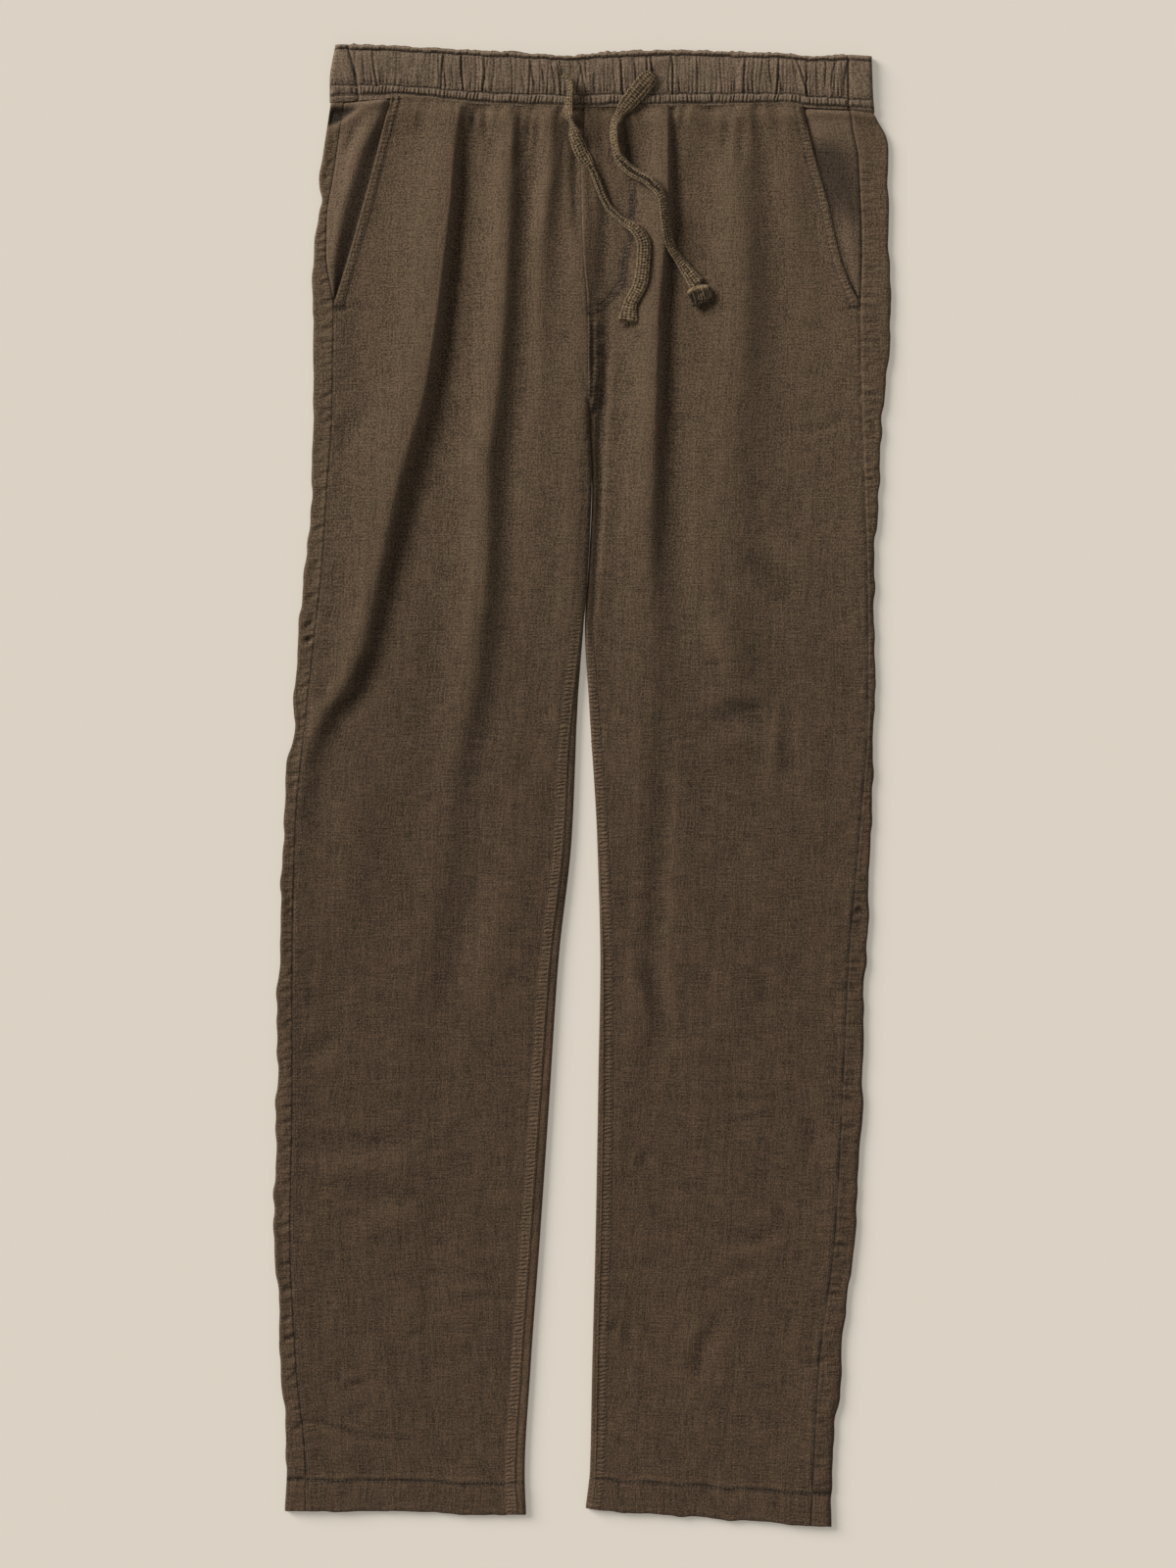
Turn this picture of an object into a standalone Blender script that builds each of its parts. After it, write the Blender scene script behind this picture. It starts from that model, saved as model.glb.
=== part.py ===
"""Linen drawstring trousers, laid flat on their back with the front up.

The waist points to +Y and the wearer's right leg lies at -X. Lengths are in millimetres: x across
from the middle, down from the highest point of the waist edge, z up from the surface they lie on.
Both layers of each leg run round it as one flattened ring. Its lower half is the back panel, which
wraps over the outer fold to the side seam, and its upper half is the front panel.
"""

import math

import bmesh
import bpy
import numpy as np
from mathutils import Vector

NAME = "linen_drawstring_trousers"
MM = 0.001

LENGTH = 1050.0  # from the waist edge to the lower corner of the longer leg
SEAM_GAP = 0.3  # between two pieces that are sewn together
WAIST_GAP = 0.5  # between the waistband's lower edge and the panels, whose edges bend in coarser steps
LEG_GAP = 0.6  # between the two legs where they touch
CLOTH = 1.2  # the wall of the linen
EDGE_RADIUS = 2.2  # of the roll where a leg is folded flat

# The waistband: two layers of linen over elastic.
BAND_WALL = 2.4
BAND_RADIUS = 3.1
BAND_INSIDE = 3.7  # height of the front half's plain inside
WIDE_GATHERS = 52
NARROW_GATHERS = 78
WIDE_GATHER_RISE = 1.6
NARROW_GATHER_RISE = 1.0

# The legs.
CROTCH = 267.0
CROTCH_CURVE = 24.0  # over which the centre front dips to the crotch
EDGE_CLEAR = 12.0  # from a rolled edge to the full height of a fold
PANEL_GATHERS = 9  # across the top of each front
PANEL_GATHER_RISE = 1.5
PANEL_GATHER_FADE = 34.0
WAIST_BLEND = 70.0  # over which the rows straighten below the waistband
HEM_DEPTH = 22.0
HEM_RISE = 0.5
HEM_LEVEL = 1040.0
HEM_BLEND = 150.0
HEM_CORNERS = {"right": (1038.0, 1041.0), "left": (LENGTH, 1037.0)}  # outer, inner

# The slanted pockets and their facings.
POCKET_FOOT = 186.0
FACING_LOW = 1.5
FACING_WALL = 1.2
FACING_UNDERLAP = 1.0  # past the side seam
FACING_INSIDE = 24.0  # past the pocket's opening
FACING_FOOT = 204.0

# The drawstring: a flat knitted tape.
TAPE_WIDTH = 8.5
TAPE_THICK = 1.6
TAPE_POINTS = 44
KNOT_SIZE = (15.0, 9.5, 5.0)
KNOT_PLACE = (84.0, 177.6, 9.8)
KNOT_TURN = 18.0

LEVEL_COLUMNS = ("down", "right_outer", "right_seam", "right_inner", "left_inner", "left_seam", "left_outer")
LEVELS = (
    (40, -177.5, -168.0, 2.0, 2.0, 190.0, 206.0),
    (60, -180.5, -171.0, 1.0, 1.0, 193.0, 214.5),
    (76, -183.0, -173.5, 0.0, 0.0, 196.0, 217.0),
    (96, -185.5, -176.5, -0.5, -0.5, 197.0, 217.5),
    (122, -186.5, -180.5, 0.0, 0.0, 198.0, 218.0),
    (150, -189.5, -181.0, 1.0, 1.0, 198.5, 218.0),
    (186, -190.5, -176.0, 4.0, 4.0, 197.5, 218.0),
    (265, -191.0, -177.0, 4.5, 4.5, 198.5, 213.0),
    (315, -191.5, -180.5, 7.0, 7.0, 200.5, 210.0),
    (370, -196.5, -184.0, 4.5, 4.5, 202.0, 207.0),
    (412, -200.0, -188.5, 1.5, 2.0, 202.5, 207.5),
    (467, -203.5, -194.5, -2.5, 5.0, 202.5, 207.5),
    (560, -212.0, -203.0, -6.5, 10.5, 196.5, 204.0),
    (649, -214.5, -205.0, -16.0, 12.8, 189.0, 201.5),
    (746, -216.0, -205.0, -22.5, 11.2, 184.5, 199.5),
    (842, -218.0, -206.5, -29.0, 9.5, 179.5, 192.5),
    (939, -212.0, -202.0, -36.0, 7.0, 167.5, 183.5),
    (1012, -209.0, -195.5, -40.0, 5.5, 163.5, 176.0),
    (1040, -210.5, -195.5, -39.0, 2.5, 162.0, 177.0),
)

# The slanted edge of each front, from the waistband to the side seam.
POCKET_COLUMNS = ("down", "right", "left")
POCKETS = (
    (38, -134.0, 156.0),
    (76, -144.5, 165.0),
    (114, -155.0, 175.0),
    (153, -166.0, 184.0),
    (186, -176.0, 197.5),
)

# How far round the inner fold the inseam lies, from the underside: it climbs on to the front.
INSEAM_COLUMNS = ("down", "right", "left")
INSEAMS = (
    (267, 0.0, 0.0),
    (447, 7.0, 3.0),
    (520, 10.0, 4.0),
    (662, 10.5, 6.0),
    (784, 11.0, 7.5),
    (1040, 11.0, 7.5),
)

# The waistband's edges, each as how far down it lies at some places across.
BAND_COLUMNS = ("x", "top", "bottom")
BAND_EDGES = (
    (-174.5, 0.0, 41.0),
    (-134.0, 3.0, 38.0),
    (-79.0, 6.0, 41.0),
    (0.0, 8.0, 43.0),
    (74.0, 4.0, 43.0),
    (157.0, 6.0, 42.5),
    (207.5, 9.0, 48.5),
)

# The waistband's ends: its folded edges and the side seams on top.
BAND_SIDE_COLUMNS = ("share", "right_edge", "right_seam", "left_seam", "left_edge")
BAND_SIDES = (
    (0.0, -174.5, -166.0, 188.5, 205.5),
    (0.7, -178.5, -159.5, 189.0, 206.5),
    (1.0, -178.5, -158.0, 189.0, 207.5),
)

# The waistband's section from its top edge down. Columns: share of the way down, rise, and how much
# of the wide and of the narrow channel's gathers stands there.
BAND_ROWS = (
    (0.0, -1.0, 0.0, 0.2),
    (0.09, 0.0, 0.0, 0.5),
    (0.17, -0.9, 0.2, 0.0),
    (0.33, 0.1, 0.9, 0.0),
    (0.64, 0.1, 1.0, 0.0),
    (0.78, -0.9, 0.2, 0.1),
    (0.89, 0.1, 0.0, 1.0),
    (1.0, -0.9, 0.0, 0.2),
)

# The largest folds, each along its crest: height, and the width of its two flanks.
FOLD_COLUMNS = ("down", "x", "height", "left_flank", "right_flank")
FOLDS = {
    "right_thigh": (
        (40, -90.0, 1.6, 15.0, 9.0),
        (72, -93.0, 4.8, 22.0, 8.0),
        (110, -97.0, 6.5, 26.0, 7.0),
        (202, -106.0, 7.0, 28.0, 7.0),
        (297, -125.0, 6.0, 28.0, 7.5),
        (368, -145.0, 4.5, 26.0, 9.0),
        (456, -163.0, 2.0, 22.0, 12.0),
        (540, -172.0, 0.0, 20.0, 14.0),
    ),
    "right_middle": (
        (40, -64.0, 1.2, 9.0, 10.0),
        (252, -75.0, 2.5, 12.0, 11.0),
        (341, -86.0, 3.5, 14.0, 12.0),
        (467, -99.0, 2.5, 16.0, 14.0),
        (600, -112.0, 0.0, 18.0, 16.0),
    ),
    "right_inner": (
        (40, -22.0, 1.2, 13.0, 10.0),
        (177, -30.0, 3.0, 18.0, 16.0),
        (315, -37.0, 3.0, 20.0, 18.0),
        (403, -44.0, 2.0, 22.0, 18.0),
        (520, -52.0, 0.0, 22.0, 18.0),
    ),
    "left_thigh": (
        (40, 58.0, 1.5, 13.0, 8.0),
        (72, 56.0, 4.6, 18.0, 7.0),
        (110, 53.5, 6.5, 22.0, 6.5),
        (191, 50.5, 7.0, 24.0, 6.5),
        (297, 46.0, 6.0, 22.0, 6.5),
        (403, 37.0, 4.0, 20.0, 8.0),
        (540, 31.0, 0.0, 18.0, 10.0),
    ),
    "left_middle": (
        (40, 95.0, 1.3, 13.0, 12.0),
        (200, 88.0, 2.5, 18.0, 18.0),
        (360, 84.0, 2.0, 20.0, 20.0),
        (520, 80.0, 0.0, 22.0, 22.0),
    ),
    "left_pocket": (
        (40, 135.0, 1.4, 11.0, 10.0),
        (120, 138.0, 2.0, 16.0, 14.0),
        (230, 142.0, 0.0, 20.0, 18.0),
    ),
}

# The rows of every leg panel, as how far down they lie, and the columns across one.
LEG_ROWS = (
    42, 50, 62, 80, 104, 130, 158, 186, 215, 243, 252, 260, 267, 276, 296, 320, 345, 370,
    400, 430, 467, 515, 560, 605, 649, 700, 746, 795, 842, 890, 939, 985, 1017, 1019, 1040,
)
FRONT_COLUMNS = 33
ROLL_STEPS = 5  # columns spent on an inner fold
ROLL_STEP = 1.6
BACK_ROLL_STEP = 2.0
BACK_FLATS = 5  # columns across the part of a back that lies flat
FINE_STEPS = 120
FLANK_WEIGHT = 0.35  # how many more columns a fold's steep flank draws, for each millimetre of height
FLANK_REACH = 14.0
FACING_COLUMNS = 5
FACING_ROWS = 7

# The free ends of the drawstring, from the slit in the waistband: tilt 90 stands the tape on edge.
ROUTE_COLUMNS = ("x", "down", "z", "tilt")
RIGHT_ROUTE = (
    (-13.0, 22.0, 12.2, 60.0),
    (-9.0, 32.0, 12.5, 80.0),
    (-10.0, 46.0, 10.4, 40.0),
    (-7.5, 57.0, 10.2, 70.0),
    (0.0, 76.0, 7.0, 10.0),
    (8.0, 90.0, 6.3, 0.0),
    (18.0, 114.0, 7.0, 0.0),
    (28.0, 125.0, 10.0, 10.0),
    (39.0, 133.0, 13.0, 20.0),
    (44.0, 145.0, 13.3, 10.0),
    (42.0, 168.0, 12.8, 0.0),
    (34.0, 186.0, 11.4, 0.0),
    (32.5, 197.0, 11.0, 0.0),
)
LEFT_ROUTE = (
    (51.0, 21.0, 9.7, 10.0),
    (40.0, 34.0, 9.5, 10.0),
    (28.0, 49.0, 8.6, 10.0),
    (22.5, 61.0, 10.4, 70.0),
    (24.5, 77.0, 10.6, 60.0),
    (34.0, 90.0, 10.8, 10.0),
    (48.0, 98.5, 13.2, 0.0),
    (57.0, 111.0, 14.1, 30.0),
    (59.5, 130.0, 13.8, 40.0),
    (63.5, 145.0, 10.8, 20.0),
    (72.5, 158.0, 8.0, 0.0),
    (82.0, 171.5, 8.8, 0.0),
)

LINEN = (0.105, 0.075, 0.048)
FACING_LINEN = (0.085, 0.062, 0.040)
TAPE_KNIT = (0.160, 0.120, 0.070)


def smooth(at, knots, values):
    """A curve through the knots that never goes past them, read at one place."""
    knots = np.asarray(knots, float)
    values = np.asarray(values, float)
    at = min(max(at, knots[0]), knots[-1])
    i = int(min(np.searchsorted(knots, at, "right") - 1, len(knots) - 2))
    slopes = np.diff(values) / np.diff(knots)
    tangents = np.zeros(len(knots))
    for j in range(1, len(knots) - 1):
        if slopes[j - 1] * slopes[j] > 0:
            tangents[j] = 2 / (1 / slopes[j - 1] + 1 / slopes[j])
    tangents[0] = slopes[0]
    tangents[-1] = slopes[-1]
    step = knots[i + 1] - knots[i]
    t = (at - knots[i]) / step
    rest = 1 - t
    return (
        values[i] * (1 + 2 * t) * rest * rest
        + values[i + 1] * (3 - 2 * t) * t * t
        + step * (tangents[i] * t * rest * rest - tangents[i + 1] * t * t * rest)
    )


def read(table, columns, name, at):
    """One column of a table, at a value of its first column."""
    place = columns.index(name)
    return smooth(at, [row[0] for row in table], [row[place] for row in table])


def level(name, down):
    return read(LEVELS, LEVEL_COLUMNS, name, down)


def ease(at, start, end):
    """From 0 at start to 1 at end, with no corner."""
    t = min(max((at - start) / (end - start), 0.0), 1.0)
    return t * t * (3 - 2 * t)


def band_edge(name, x):
    """How far down the waistband's top or bottom edge lies, in straight runs between its places."""
    place = BAND_COLUMNS.index(name)
    return float(np.interp(x, [row[0] for row in BAND_EDGES], [row[place] for row in BAND_EDGES]))


def fold_height(x, down):
    """The rise of all the large folds at one place."""
    height = 0.0
    for fold in FOLDS.values():
        if not fold[0][0] <= down <= fold[-1][0]:
            continue
        away = x - read(fold, FOLD_COLUMNS, "x", down)
        flank = read(fold, FOLD_COLUMNS, "left_flank" if away < 0 else "right_flank", down)
        height += read(fold, FOLD_COLUMNS, "height", down) * math.exp(-((away / flank) ** 2))
    return height


def gathers(along, count, phase):
    """A row of gathers of uneven size, from 0 in the dips to 1 on the crests."""
    uneven = 0.35 * math.sin(5.3 * along + phase) + 0.25 * math.sin(17.0 * along + 2 * phase)
    return (1 - math.cos(2 * math.pi * count * along + uneven)) / 2


class Leg:
    """The flattened ring of one leg, with the half of the seat above it."""

    def __init__(self, side):
        self.side = side
        self.inward = 1 if side == "right" else -1

    def outer(self, down):
        return level(self.side + "_outer", down)

    def rolled(self, down):
        """0 where the fronts meet flat at the centre front, 1 where the leg has an inner fold."""
        return ease(down, CROTCH - CROTCH_CURVE, CROTCH)

    def width(self, down):
        gap = (SEAM_GAP + (LEG_GAP - SEAM_GAP) * self.rolled(down)) / 2
        return abs(level(self.side + "_inner", down) - self.outer(down)) - gap

    def front_turn(self, down):
        """How far the front reaches round the inner fold, or stops short of it."""
        if down < CROTCH:
            return math.pi * EDGE_RADIUS * self.rolled(down)
        gap = SEAM_GAP / 2 * ease(down, CROTCH, CROTCH + SEAM_GAP)
        return math.pi * EDGE_RADIUS - read(INSEAMS, INSEAM_COLUMNS, self.side, down) - gap

    def back_turn(self, down):
        """How far the back reaches up the inner fold from the underside."""
        return read(INSEAMS, INSEAM_COLUMNS, self.side, down) - SEAM_GAP / 2

    def inner_centre(self, down):
        """From the outer edge to the middle of the inner fold's roll."""
        turned = min(math.pi * self.rolled(down), math.pi / 2)
        return self.width(down) - EDGE_RADIUS * math.sin(turned)

    def front_edge(self, down):
        """From the outer edge to the front's edge: the pocket's opening, then the side seam."""
        if down < POCKET_FOOT:
            x = read(POCKETS, POCKET_COLUMNS, self.side, down)
        else:
            x = level(self.side + "_seam", down)
        return abs(x - self.outer(down)) + SEAM_GAP / 2

    def seam_edge(self, down):
        """From the outer edge to the end of the back's strip on top."""
        return abs(level(self.side + "_seam", down) - self.outer(down)) - SEAM_GAP / 2

    def x(self, down, across):
        return self.outer(down) + self.inward * across

    def top(self, down, across):
        """Height of the upper surface, which is plain near a rolled edge."""
        clear = ease(across, EDGE_RADIUS, EDGE_RADIUS + EDGE_CLEAR)
        inner = self.width(down) - across
        clear *= 1 - self.rolled(down) * (1 - ease(inner, EDGE_RADIUS, EDGE_RADIUS + EDGE_CLEAR))
        hem = HEM_RISE * ease(down, HEM_LEVEL - HEM_DEPTH - 1, HEM_LEVEL - HEM_DEPTH + 1)
        return 2 * EDGE_RADIUS + clear * (fold_height(self.x(down, across), down) + hem)

    def upper(self, down, across, depth):
        """A point of the upper layer, or past its edge round the inner fold."""
        centre = self.inner_centre(down)
        if across > centre:
            turned = (across - centre) / EDGE_RADIUS
            radius = EDGE_RADIUS - depth
            return centre + radius * math.sin(turned), EDGE_RADIUS + radius * math.cos(turned)
        slope = self.top(down, across + 0.5) - self.top(down, across - 0.5)
        return across, self.top(down, across) - depth * math.hypot(1, slope)

    def lower(self, down, reach, depth):
        """A point of the back: reach is 0 at the top of the outer roll, and more towards the inseam."""
        half_turn = math.pi * EDGE_RADIUS
        radius = EDGE_RADIUS - depth
        if reach < 0:
            return self.upper(down, EDGE_RADIUS - reach, depth)
        if reach < half_turn:
            turned = reach / EDGE_RADIUS
            return EDGE_RADIUS - radius * math.sin(turned), EDGE_RADIUS + radius * math.cos(turned)
        centre = self.inner_centre(down)
        across = EDGE_RADIUS + reach - half_turn
        if across <= centre:
            return across, depth
        turned = (across - centre) / EDGE_RADIUS
        if turned < math.pi:
            return centre + radius * math.sin(turned), EDGE_RADIUS - radius * math.cos(turned)
        return self.upper(down, centre - (turned - math.pi) * EDGE_RADIUS, depth)

    def place(self, down, across, z):
        """The point in space: the top row follows the waistband, and the lowest one the hem."""
        x = self.x(down, across)
        first = LEG_ROWS[0]
        drop = (band_edge("bottom", x) + WAIST_GAP - first) * (1 - ease(down, first, first + WAIST_BLEND))
        hem = self.hem(across / self.width(down)) - HEM_LEVEL
        drop += hem * ease(down, HEM_LEVEL - HEM_BLEND, HEM_LEVEL)
        return at(x, down + drop, z)

    def hem(self, share):
        """How far down the hem lies, which slants across the leg."""
        outer, inner = HEM_CORNERS[self.side]
        return outer + (inner - outer) * min(max(share, 0.0), 1.0)


def at(x, down, z):
    """A point in metres, in the part's frame."""
    return Vector((x, LENGTH / 2 - down, z)) * MM


def material(name, colour, roughness):
    made = bpy.data.materials.new(name)
    made.use_nodes = True
    shader = made.node_tree.nodes["Principled BSDF"]
    shader.inputs["Base Color"].default_value = (*colour, 1.0)
    shader.inputs["Roughness"].default_value = roughness
    shader.inputs["Metallic"].default_value = 0.0
    return made


def finish(mesh, name, collection, colour, roughness=0.9):
    """Makes an object of a mesh, in its own material."""
    mesh.materials.append(material(name, colour, roughness))
    made = bpy.data.objects.new(name, mesh)
    collection.objects.link(made)
    return made


def wall(name, collection, colour, columns, rows, point):
    """A closed wall from a grid: point(column, row, inside) places its outer and its inner skin."""
    cells = bmesh.new()
    bmesh.ops.create_grid(cells, x_segments=columns, y_segments=rows, size=0.5)
    extruded = bmesh.ops.extrude_face_region(cells, geom=cells.faces[:], use_keep_orig=True)
    inner = {item for item in extruded["geom"] if isinstance(item, bmesh.types.BMVert)}
    for vertex in cells.verts:
        column = round((vertex.co.x + 0.5) * columns)
        row = round((vertex.co.y + 0.5) * rows)
        vertex.co = point(column, row, vertex in inner)
    bmesh.ops.recalc_face_normals(cells, faces=cells.faces[:])
    mesh = bpy.data.meshes.new(name)
    cells.to_mesh(mesh)
    cells.free()
    mesh.shade_smooth()
    mesh.set_sharp_from_angle(angle=math.radians(50))
    return finish(mesh, name, collection, colour)


def spread(start, end, count, leg, down):
    """Places between two ends, closer together on the steep flanks of the folds."""
    fine = np.linspace(start, end, FINE_STEPS)
    weight = np.ones(len(fine))
    for fold in FOLDS.values():
        if fold[0][0] <= down <= fold[-1][0]:
            crest = read(fold, FOLD_COLUMNS, "x", down)
            flank = read(fold, FOLD_COLUMNS, "right_flank", down)
            height = read(fold, FOLD_COLUMNS, "height", down)
            x = leg.outer(down) + leg.inward * fine
            weight += FLANK_WEIGHT * height * np.exp(-(((x - crest - flank / 2) / FLANK_REACH) ** 2))
    total = np.concatenate([[0.0], np.cumsum((weight[1:] + weight[:-1]) / 2)])
    return np.interp(np.linspace(0, total[-1], count), total, fine)


def make_front(side, collection):
    """A front panel: its last columns turn down round the leg's inner fold."""
    leg = Leg(side)
    across = {}
    for down in LEG_ROWS:
        end = leg.inner_centre(down) + leg.front_turn(down)
        count = FRONT_COLUMNS - ROLL_STEPS + 1
        flat = spread(leg.front_edge(down), end - ROLL_STEPS * ROLL_STEP, count, leg, down)
        across[down] = [*flat, *(end - ROLL_STEP * n for n in range(ROLL_STEPS - 1, -1, -1))]

    def point(column, row, inside):
        down = LEG_ROWS[row]
        place, z = leg.upper(down, across[down][column], CLOTH if inside else 0.0)
        share = min(column / (FRONT_COLUMNS - ROLL_STEPS), 1.0)
        crest = gathers(share, PANEL_GATHERS, leg.inward) * ease(min(share, 1 - share), 0.0, 0.05)
        z += PANEL_GATHER_RISE * crest * math.exp(-(down - LEG_ROWS[0]) / PANEL_GATHER_FADE)
        return leg.place(down, place, z)

    return wall(side + "_front", collection, LINEN, FRONT_COLUMNS, len(LEG_ROWS) - 1, point)


def make_back(side, collection):
    """A back panel: over the outer fold from the side seam, flat below, and up to the inseam."""
    leg = Leg(side)
    half_turn = math.pi * EDGE_RADIUS
    reaches = {}
    for down in LEG_ROWS:
        strip = leg.seam_edge(down) - EDGE_RADIUS
        end = leg.inner_centre(down) - EDGE_RADIUS + half_turn + leg.back_turn(down)
        outer_roll = [half_turn * n / 6 for n in range(7)]
        inner_roll = [end - BACK_ROLL_STEP * n for n in range(ROLL_STEPS, -1, -1)]
        flat = np.linspace(outer_roll[-1], inner_roll[0], BACK_FLATS + 1)[1:-1]
        reaches[down] = [-strip, -strip / 2, *outer_roll, *flat, *inner_roll]
    columns = len(reaches[LEG_ROWS[0]]) - 1

    def point(column, row, inside):
        down = LEG_ROWS[row]
        place, z = leg.lower(down, reaches[down][column], CLOTH if inside else 0.0)
        return leg.place(down, place, z)

    return wall(side + "_back", collection, LINEN, columns, len(LEG_ROWS) - 1, point)


def make_facing(side, collection):
    """The pocket facing: a flat piece under the slanted opening, out to the side seam."""
    leg = Leg(side)

    def point(column, row, inside):
        down = LEG_ROWS[0] + (FACING_FOOT - LEG_ROWS[0]) * row / FACING_ROWS
        start = leg.seam_edge(down) - FACING_UNDERLAP
        end = leg.front_edge(down) + FACING_INSIDE
        across = start + (end - start) * column / FACING_COLUMNS
        return leg.place(down, across, FACING_LOW + (0.0 if inside else FACING_WALL))

    return wall(side + "_pocket_facing", collection, FACING_LINEN, FACING_COLUMNS, FACING_ROWS, point)


def band_side(name, share):
    return read(BAND_SIDES, BAND_SIDE_COLUMNS, name, share)


def band_place(x, share, z):
    top = band_edge("top", x)
    return at(x, top + (band_edge("bottom", x) - top) * share, z)


def make_band_front(collection):
    """The front half of the waistband: gathers in its outer skin, over a plain inside."""
    columns = 3 * NARROW_GATHERS

    def point(column, row, inside):
        share, rise, wide, narrow = BAND_ROWS[row]
        along = column / columns
        start = band_side("right_seam", share) + SEAM_GAP / 2
        end = band_side("left_seam", share) - SEAM_GAP / 2
        x = start + (end - start) * along
        if inside:
            return band_place(x, share, BAND_INSIDE)
        ends = ease(min(along, 1 - along), 0.0, 0.03)
        waves = wide * WIDE_GATHER_RISE * gathers(along, WIDE_GATHERS, 0.4)
        waves += narrow * NARROW_GATHER_RISE * gathers(along, NARROW_GATHERS, 0.0)
        return band_place(x, share, BAND_INSIDE + BAND_WALL + ends * (waves + rise))

    return wall("waistband_front", collection, LINEN, columns, len(BAND_ROWS) - 1, point)


def make_band_back(collection):
    """The back half of the waistband: flat below, and round both edges to its side seams on top."""
    half_turn = math.pi * BAND_RADIUS
    turns = [half_turn * n / 6 for n in range(7)]

    def section(share):
        """Each column's x, its turn round an edge from the top, and the way it turns."""
        right, left = band_side("right_edge", share), band_side("left_edge", share)
        flat = [right + BAND_RADIUS, *(edge[0] for edge in BAND_EDGES[1:-1]), left - BAND_RADIUS]
        rows = [(band_side("right_seam", share) - SEAM_GAP / 2, 0.0, -1)]
        rows += [(right + BAND_RADIUS, turn, -1) for turn in turns[:-1]]
        rows += [(x, half_turn, 0) for x in flat]
        rows += [(left - BAND_RADIUS, turn, 1) for turn in reversed(turns[:-1])]
        rows += [(band_side("left_seam", share) + SEAM_GAP / 2, 0.0, 1)]
        return rows

    def point(column, row, inside):
        share = BAND_SIDES[row][0]
        x, turn, way = section(share)[column]
        radius = BAND_RADIUS - (BAND_WALL if inside else 0.0)
        angle = turn / BAND_RADIUS
        x += way * radius * math.sin(angle)
        return band_place(x, share, BAND_RADIUS + radius * math.cos(angle))

    columns = len(section(0.0)) - 1
    return wall("waistband_back", collection, LINEN, columns, len(BAND_SIDES) - 1, point)


def make_tape_section(guides):
    """The flat section that the drawstring is swept with."""
    outline = bpy.data.curves.new("tape_section", "CURVE")
    outline.dimensions = "2D"
    spline = outline.splines.new("POLY")
    half, thick = TAPE_WIDTH / 2 * MM, TAPE_THICK / 2 * MM
    corners = ((1, 0), (0.8, -1), (-0.8, -1), (-1, 0), (-0.8, 1), (0.8, 1))
    spline.points.add(len(corners) - 1)
    for corner, (u, v) in zip(spline.points, corners):
        corner.co = (u * half, v * thick, 0.0, 1.0)
    spline.use_cyclic_u = True
    section = bpy.data.objects.new("tape_section", outline)
    section.hide_render = True
    section.display_type = "WIRE"
    guides.objects.link(section)
    return section


def make_tape(name, route, section, collection):
    """A free end of the drawstring, swept along a smooth curve through its route."""
    steps = np.linspace(0, len(route) - 1, TAPE_POINTS)
    knots = range(len(route))
    columns = [[row[n] for row in route] for n in range(len(ROUTE_COLUMNS))]
    values = [[smooth(step, knots, column) for column in columns] for step in steps]
    curve = bpy.data.curves.new(name, "CURVE")
    curve.dimensions = "3D"
    curve.twist_mode = "Z_UP"
    curve.bevel_mode = "OBJECT"
    curve.bevel_object = section
    curve.use_fill_caps = True
    spline = curve.splines.new("POLY")
    spline.points.add(TAPE_POINTS - 1)
    for place, (x, down, z, tilt) in zip(spline.points, values):
        place.co = (*at(x, down, z), 1.0)
        place.tilt = math.radians(tilt)
    return finish(curve, name, collection, TAPE_KNIT, 0.85)


def make_knot(collection):
    """The flattened knot at the end of the wearer's left tape."""
    ball = bmesh.new()
    bmesh.ops.create_uvsphere(ball, u_segments=14, v_segments=8, radius=0.5)
    mesh = bpy.data.meshes.new("drawstring_knot")
    ball.to_mesh(mesh)
    ball.free()
    mesh.shade_smooth()
    knot = finish(mesh, "drawstring_knot", collection, TAPE_KNIT, 0.85)
    knot.location = at(*KNOT_PLACE)
    knot.rotation_euler = (0.0, 0.0, math.radians(KNOT_TURN))
    knot.scale = Vector(KNOT_SIZE) * MM
    return knot


def main():
    for old in list(bpy.data.objects):
        bpy.data.objects.remove(old, do_unlink=True)
    trousers = bpy.data.collections.new(NAME)
    guides = bpy.data.collections.new("guides")
    bpy.context.scene.collection.children.link(trousers)
    bpy.context.scene.collection.children.link(guides)
    for side in ("right", "left"):
        make_back(side, trousers)
        make_facing(side, trousers)
        make_front(side, trousers)
    make_band_back(trousers)
    make_band_front(trousers)
    section = make_tape_section(guides)
    make_tape("drawstring_right", RIGHT_ROUTE, section, trousers)
    make_tape("drawstring_left", LEFT_ROUTE, section, trousers)
    make_knot(trousers)


main()
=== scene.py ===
"""Looks for a pair of linen drawstring trousers laid flat on their back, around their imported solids.

Sizes are in millimetres unless a name says otherwise. x runs across from the middle, with the
wearer's right leg at -x, down runs from the waist edge to the hems, and z is the height above the
surface that the trousers lie on. Meshes are in metres, in the frame of the solids.
"""

import logging
import math
from dataclasses import dataclass, replace
from enum import Enum
from typing import Sequence, TypeVar

import bmesh
import bpy
import numpy as np
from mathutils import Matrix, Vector
from mathutils.bvhtree import BVHTree


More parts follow.
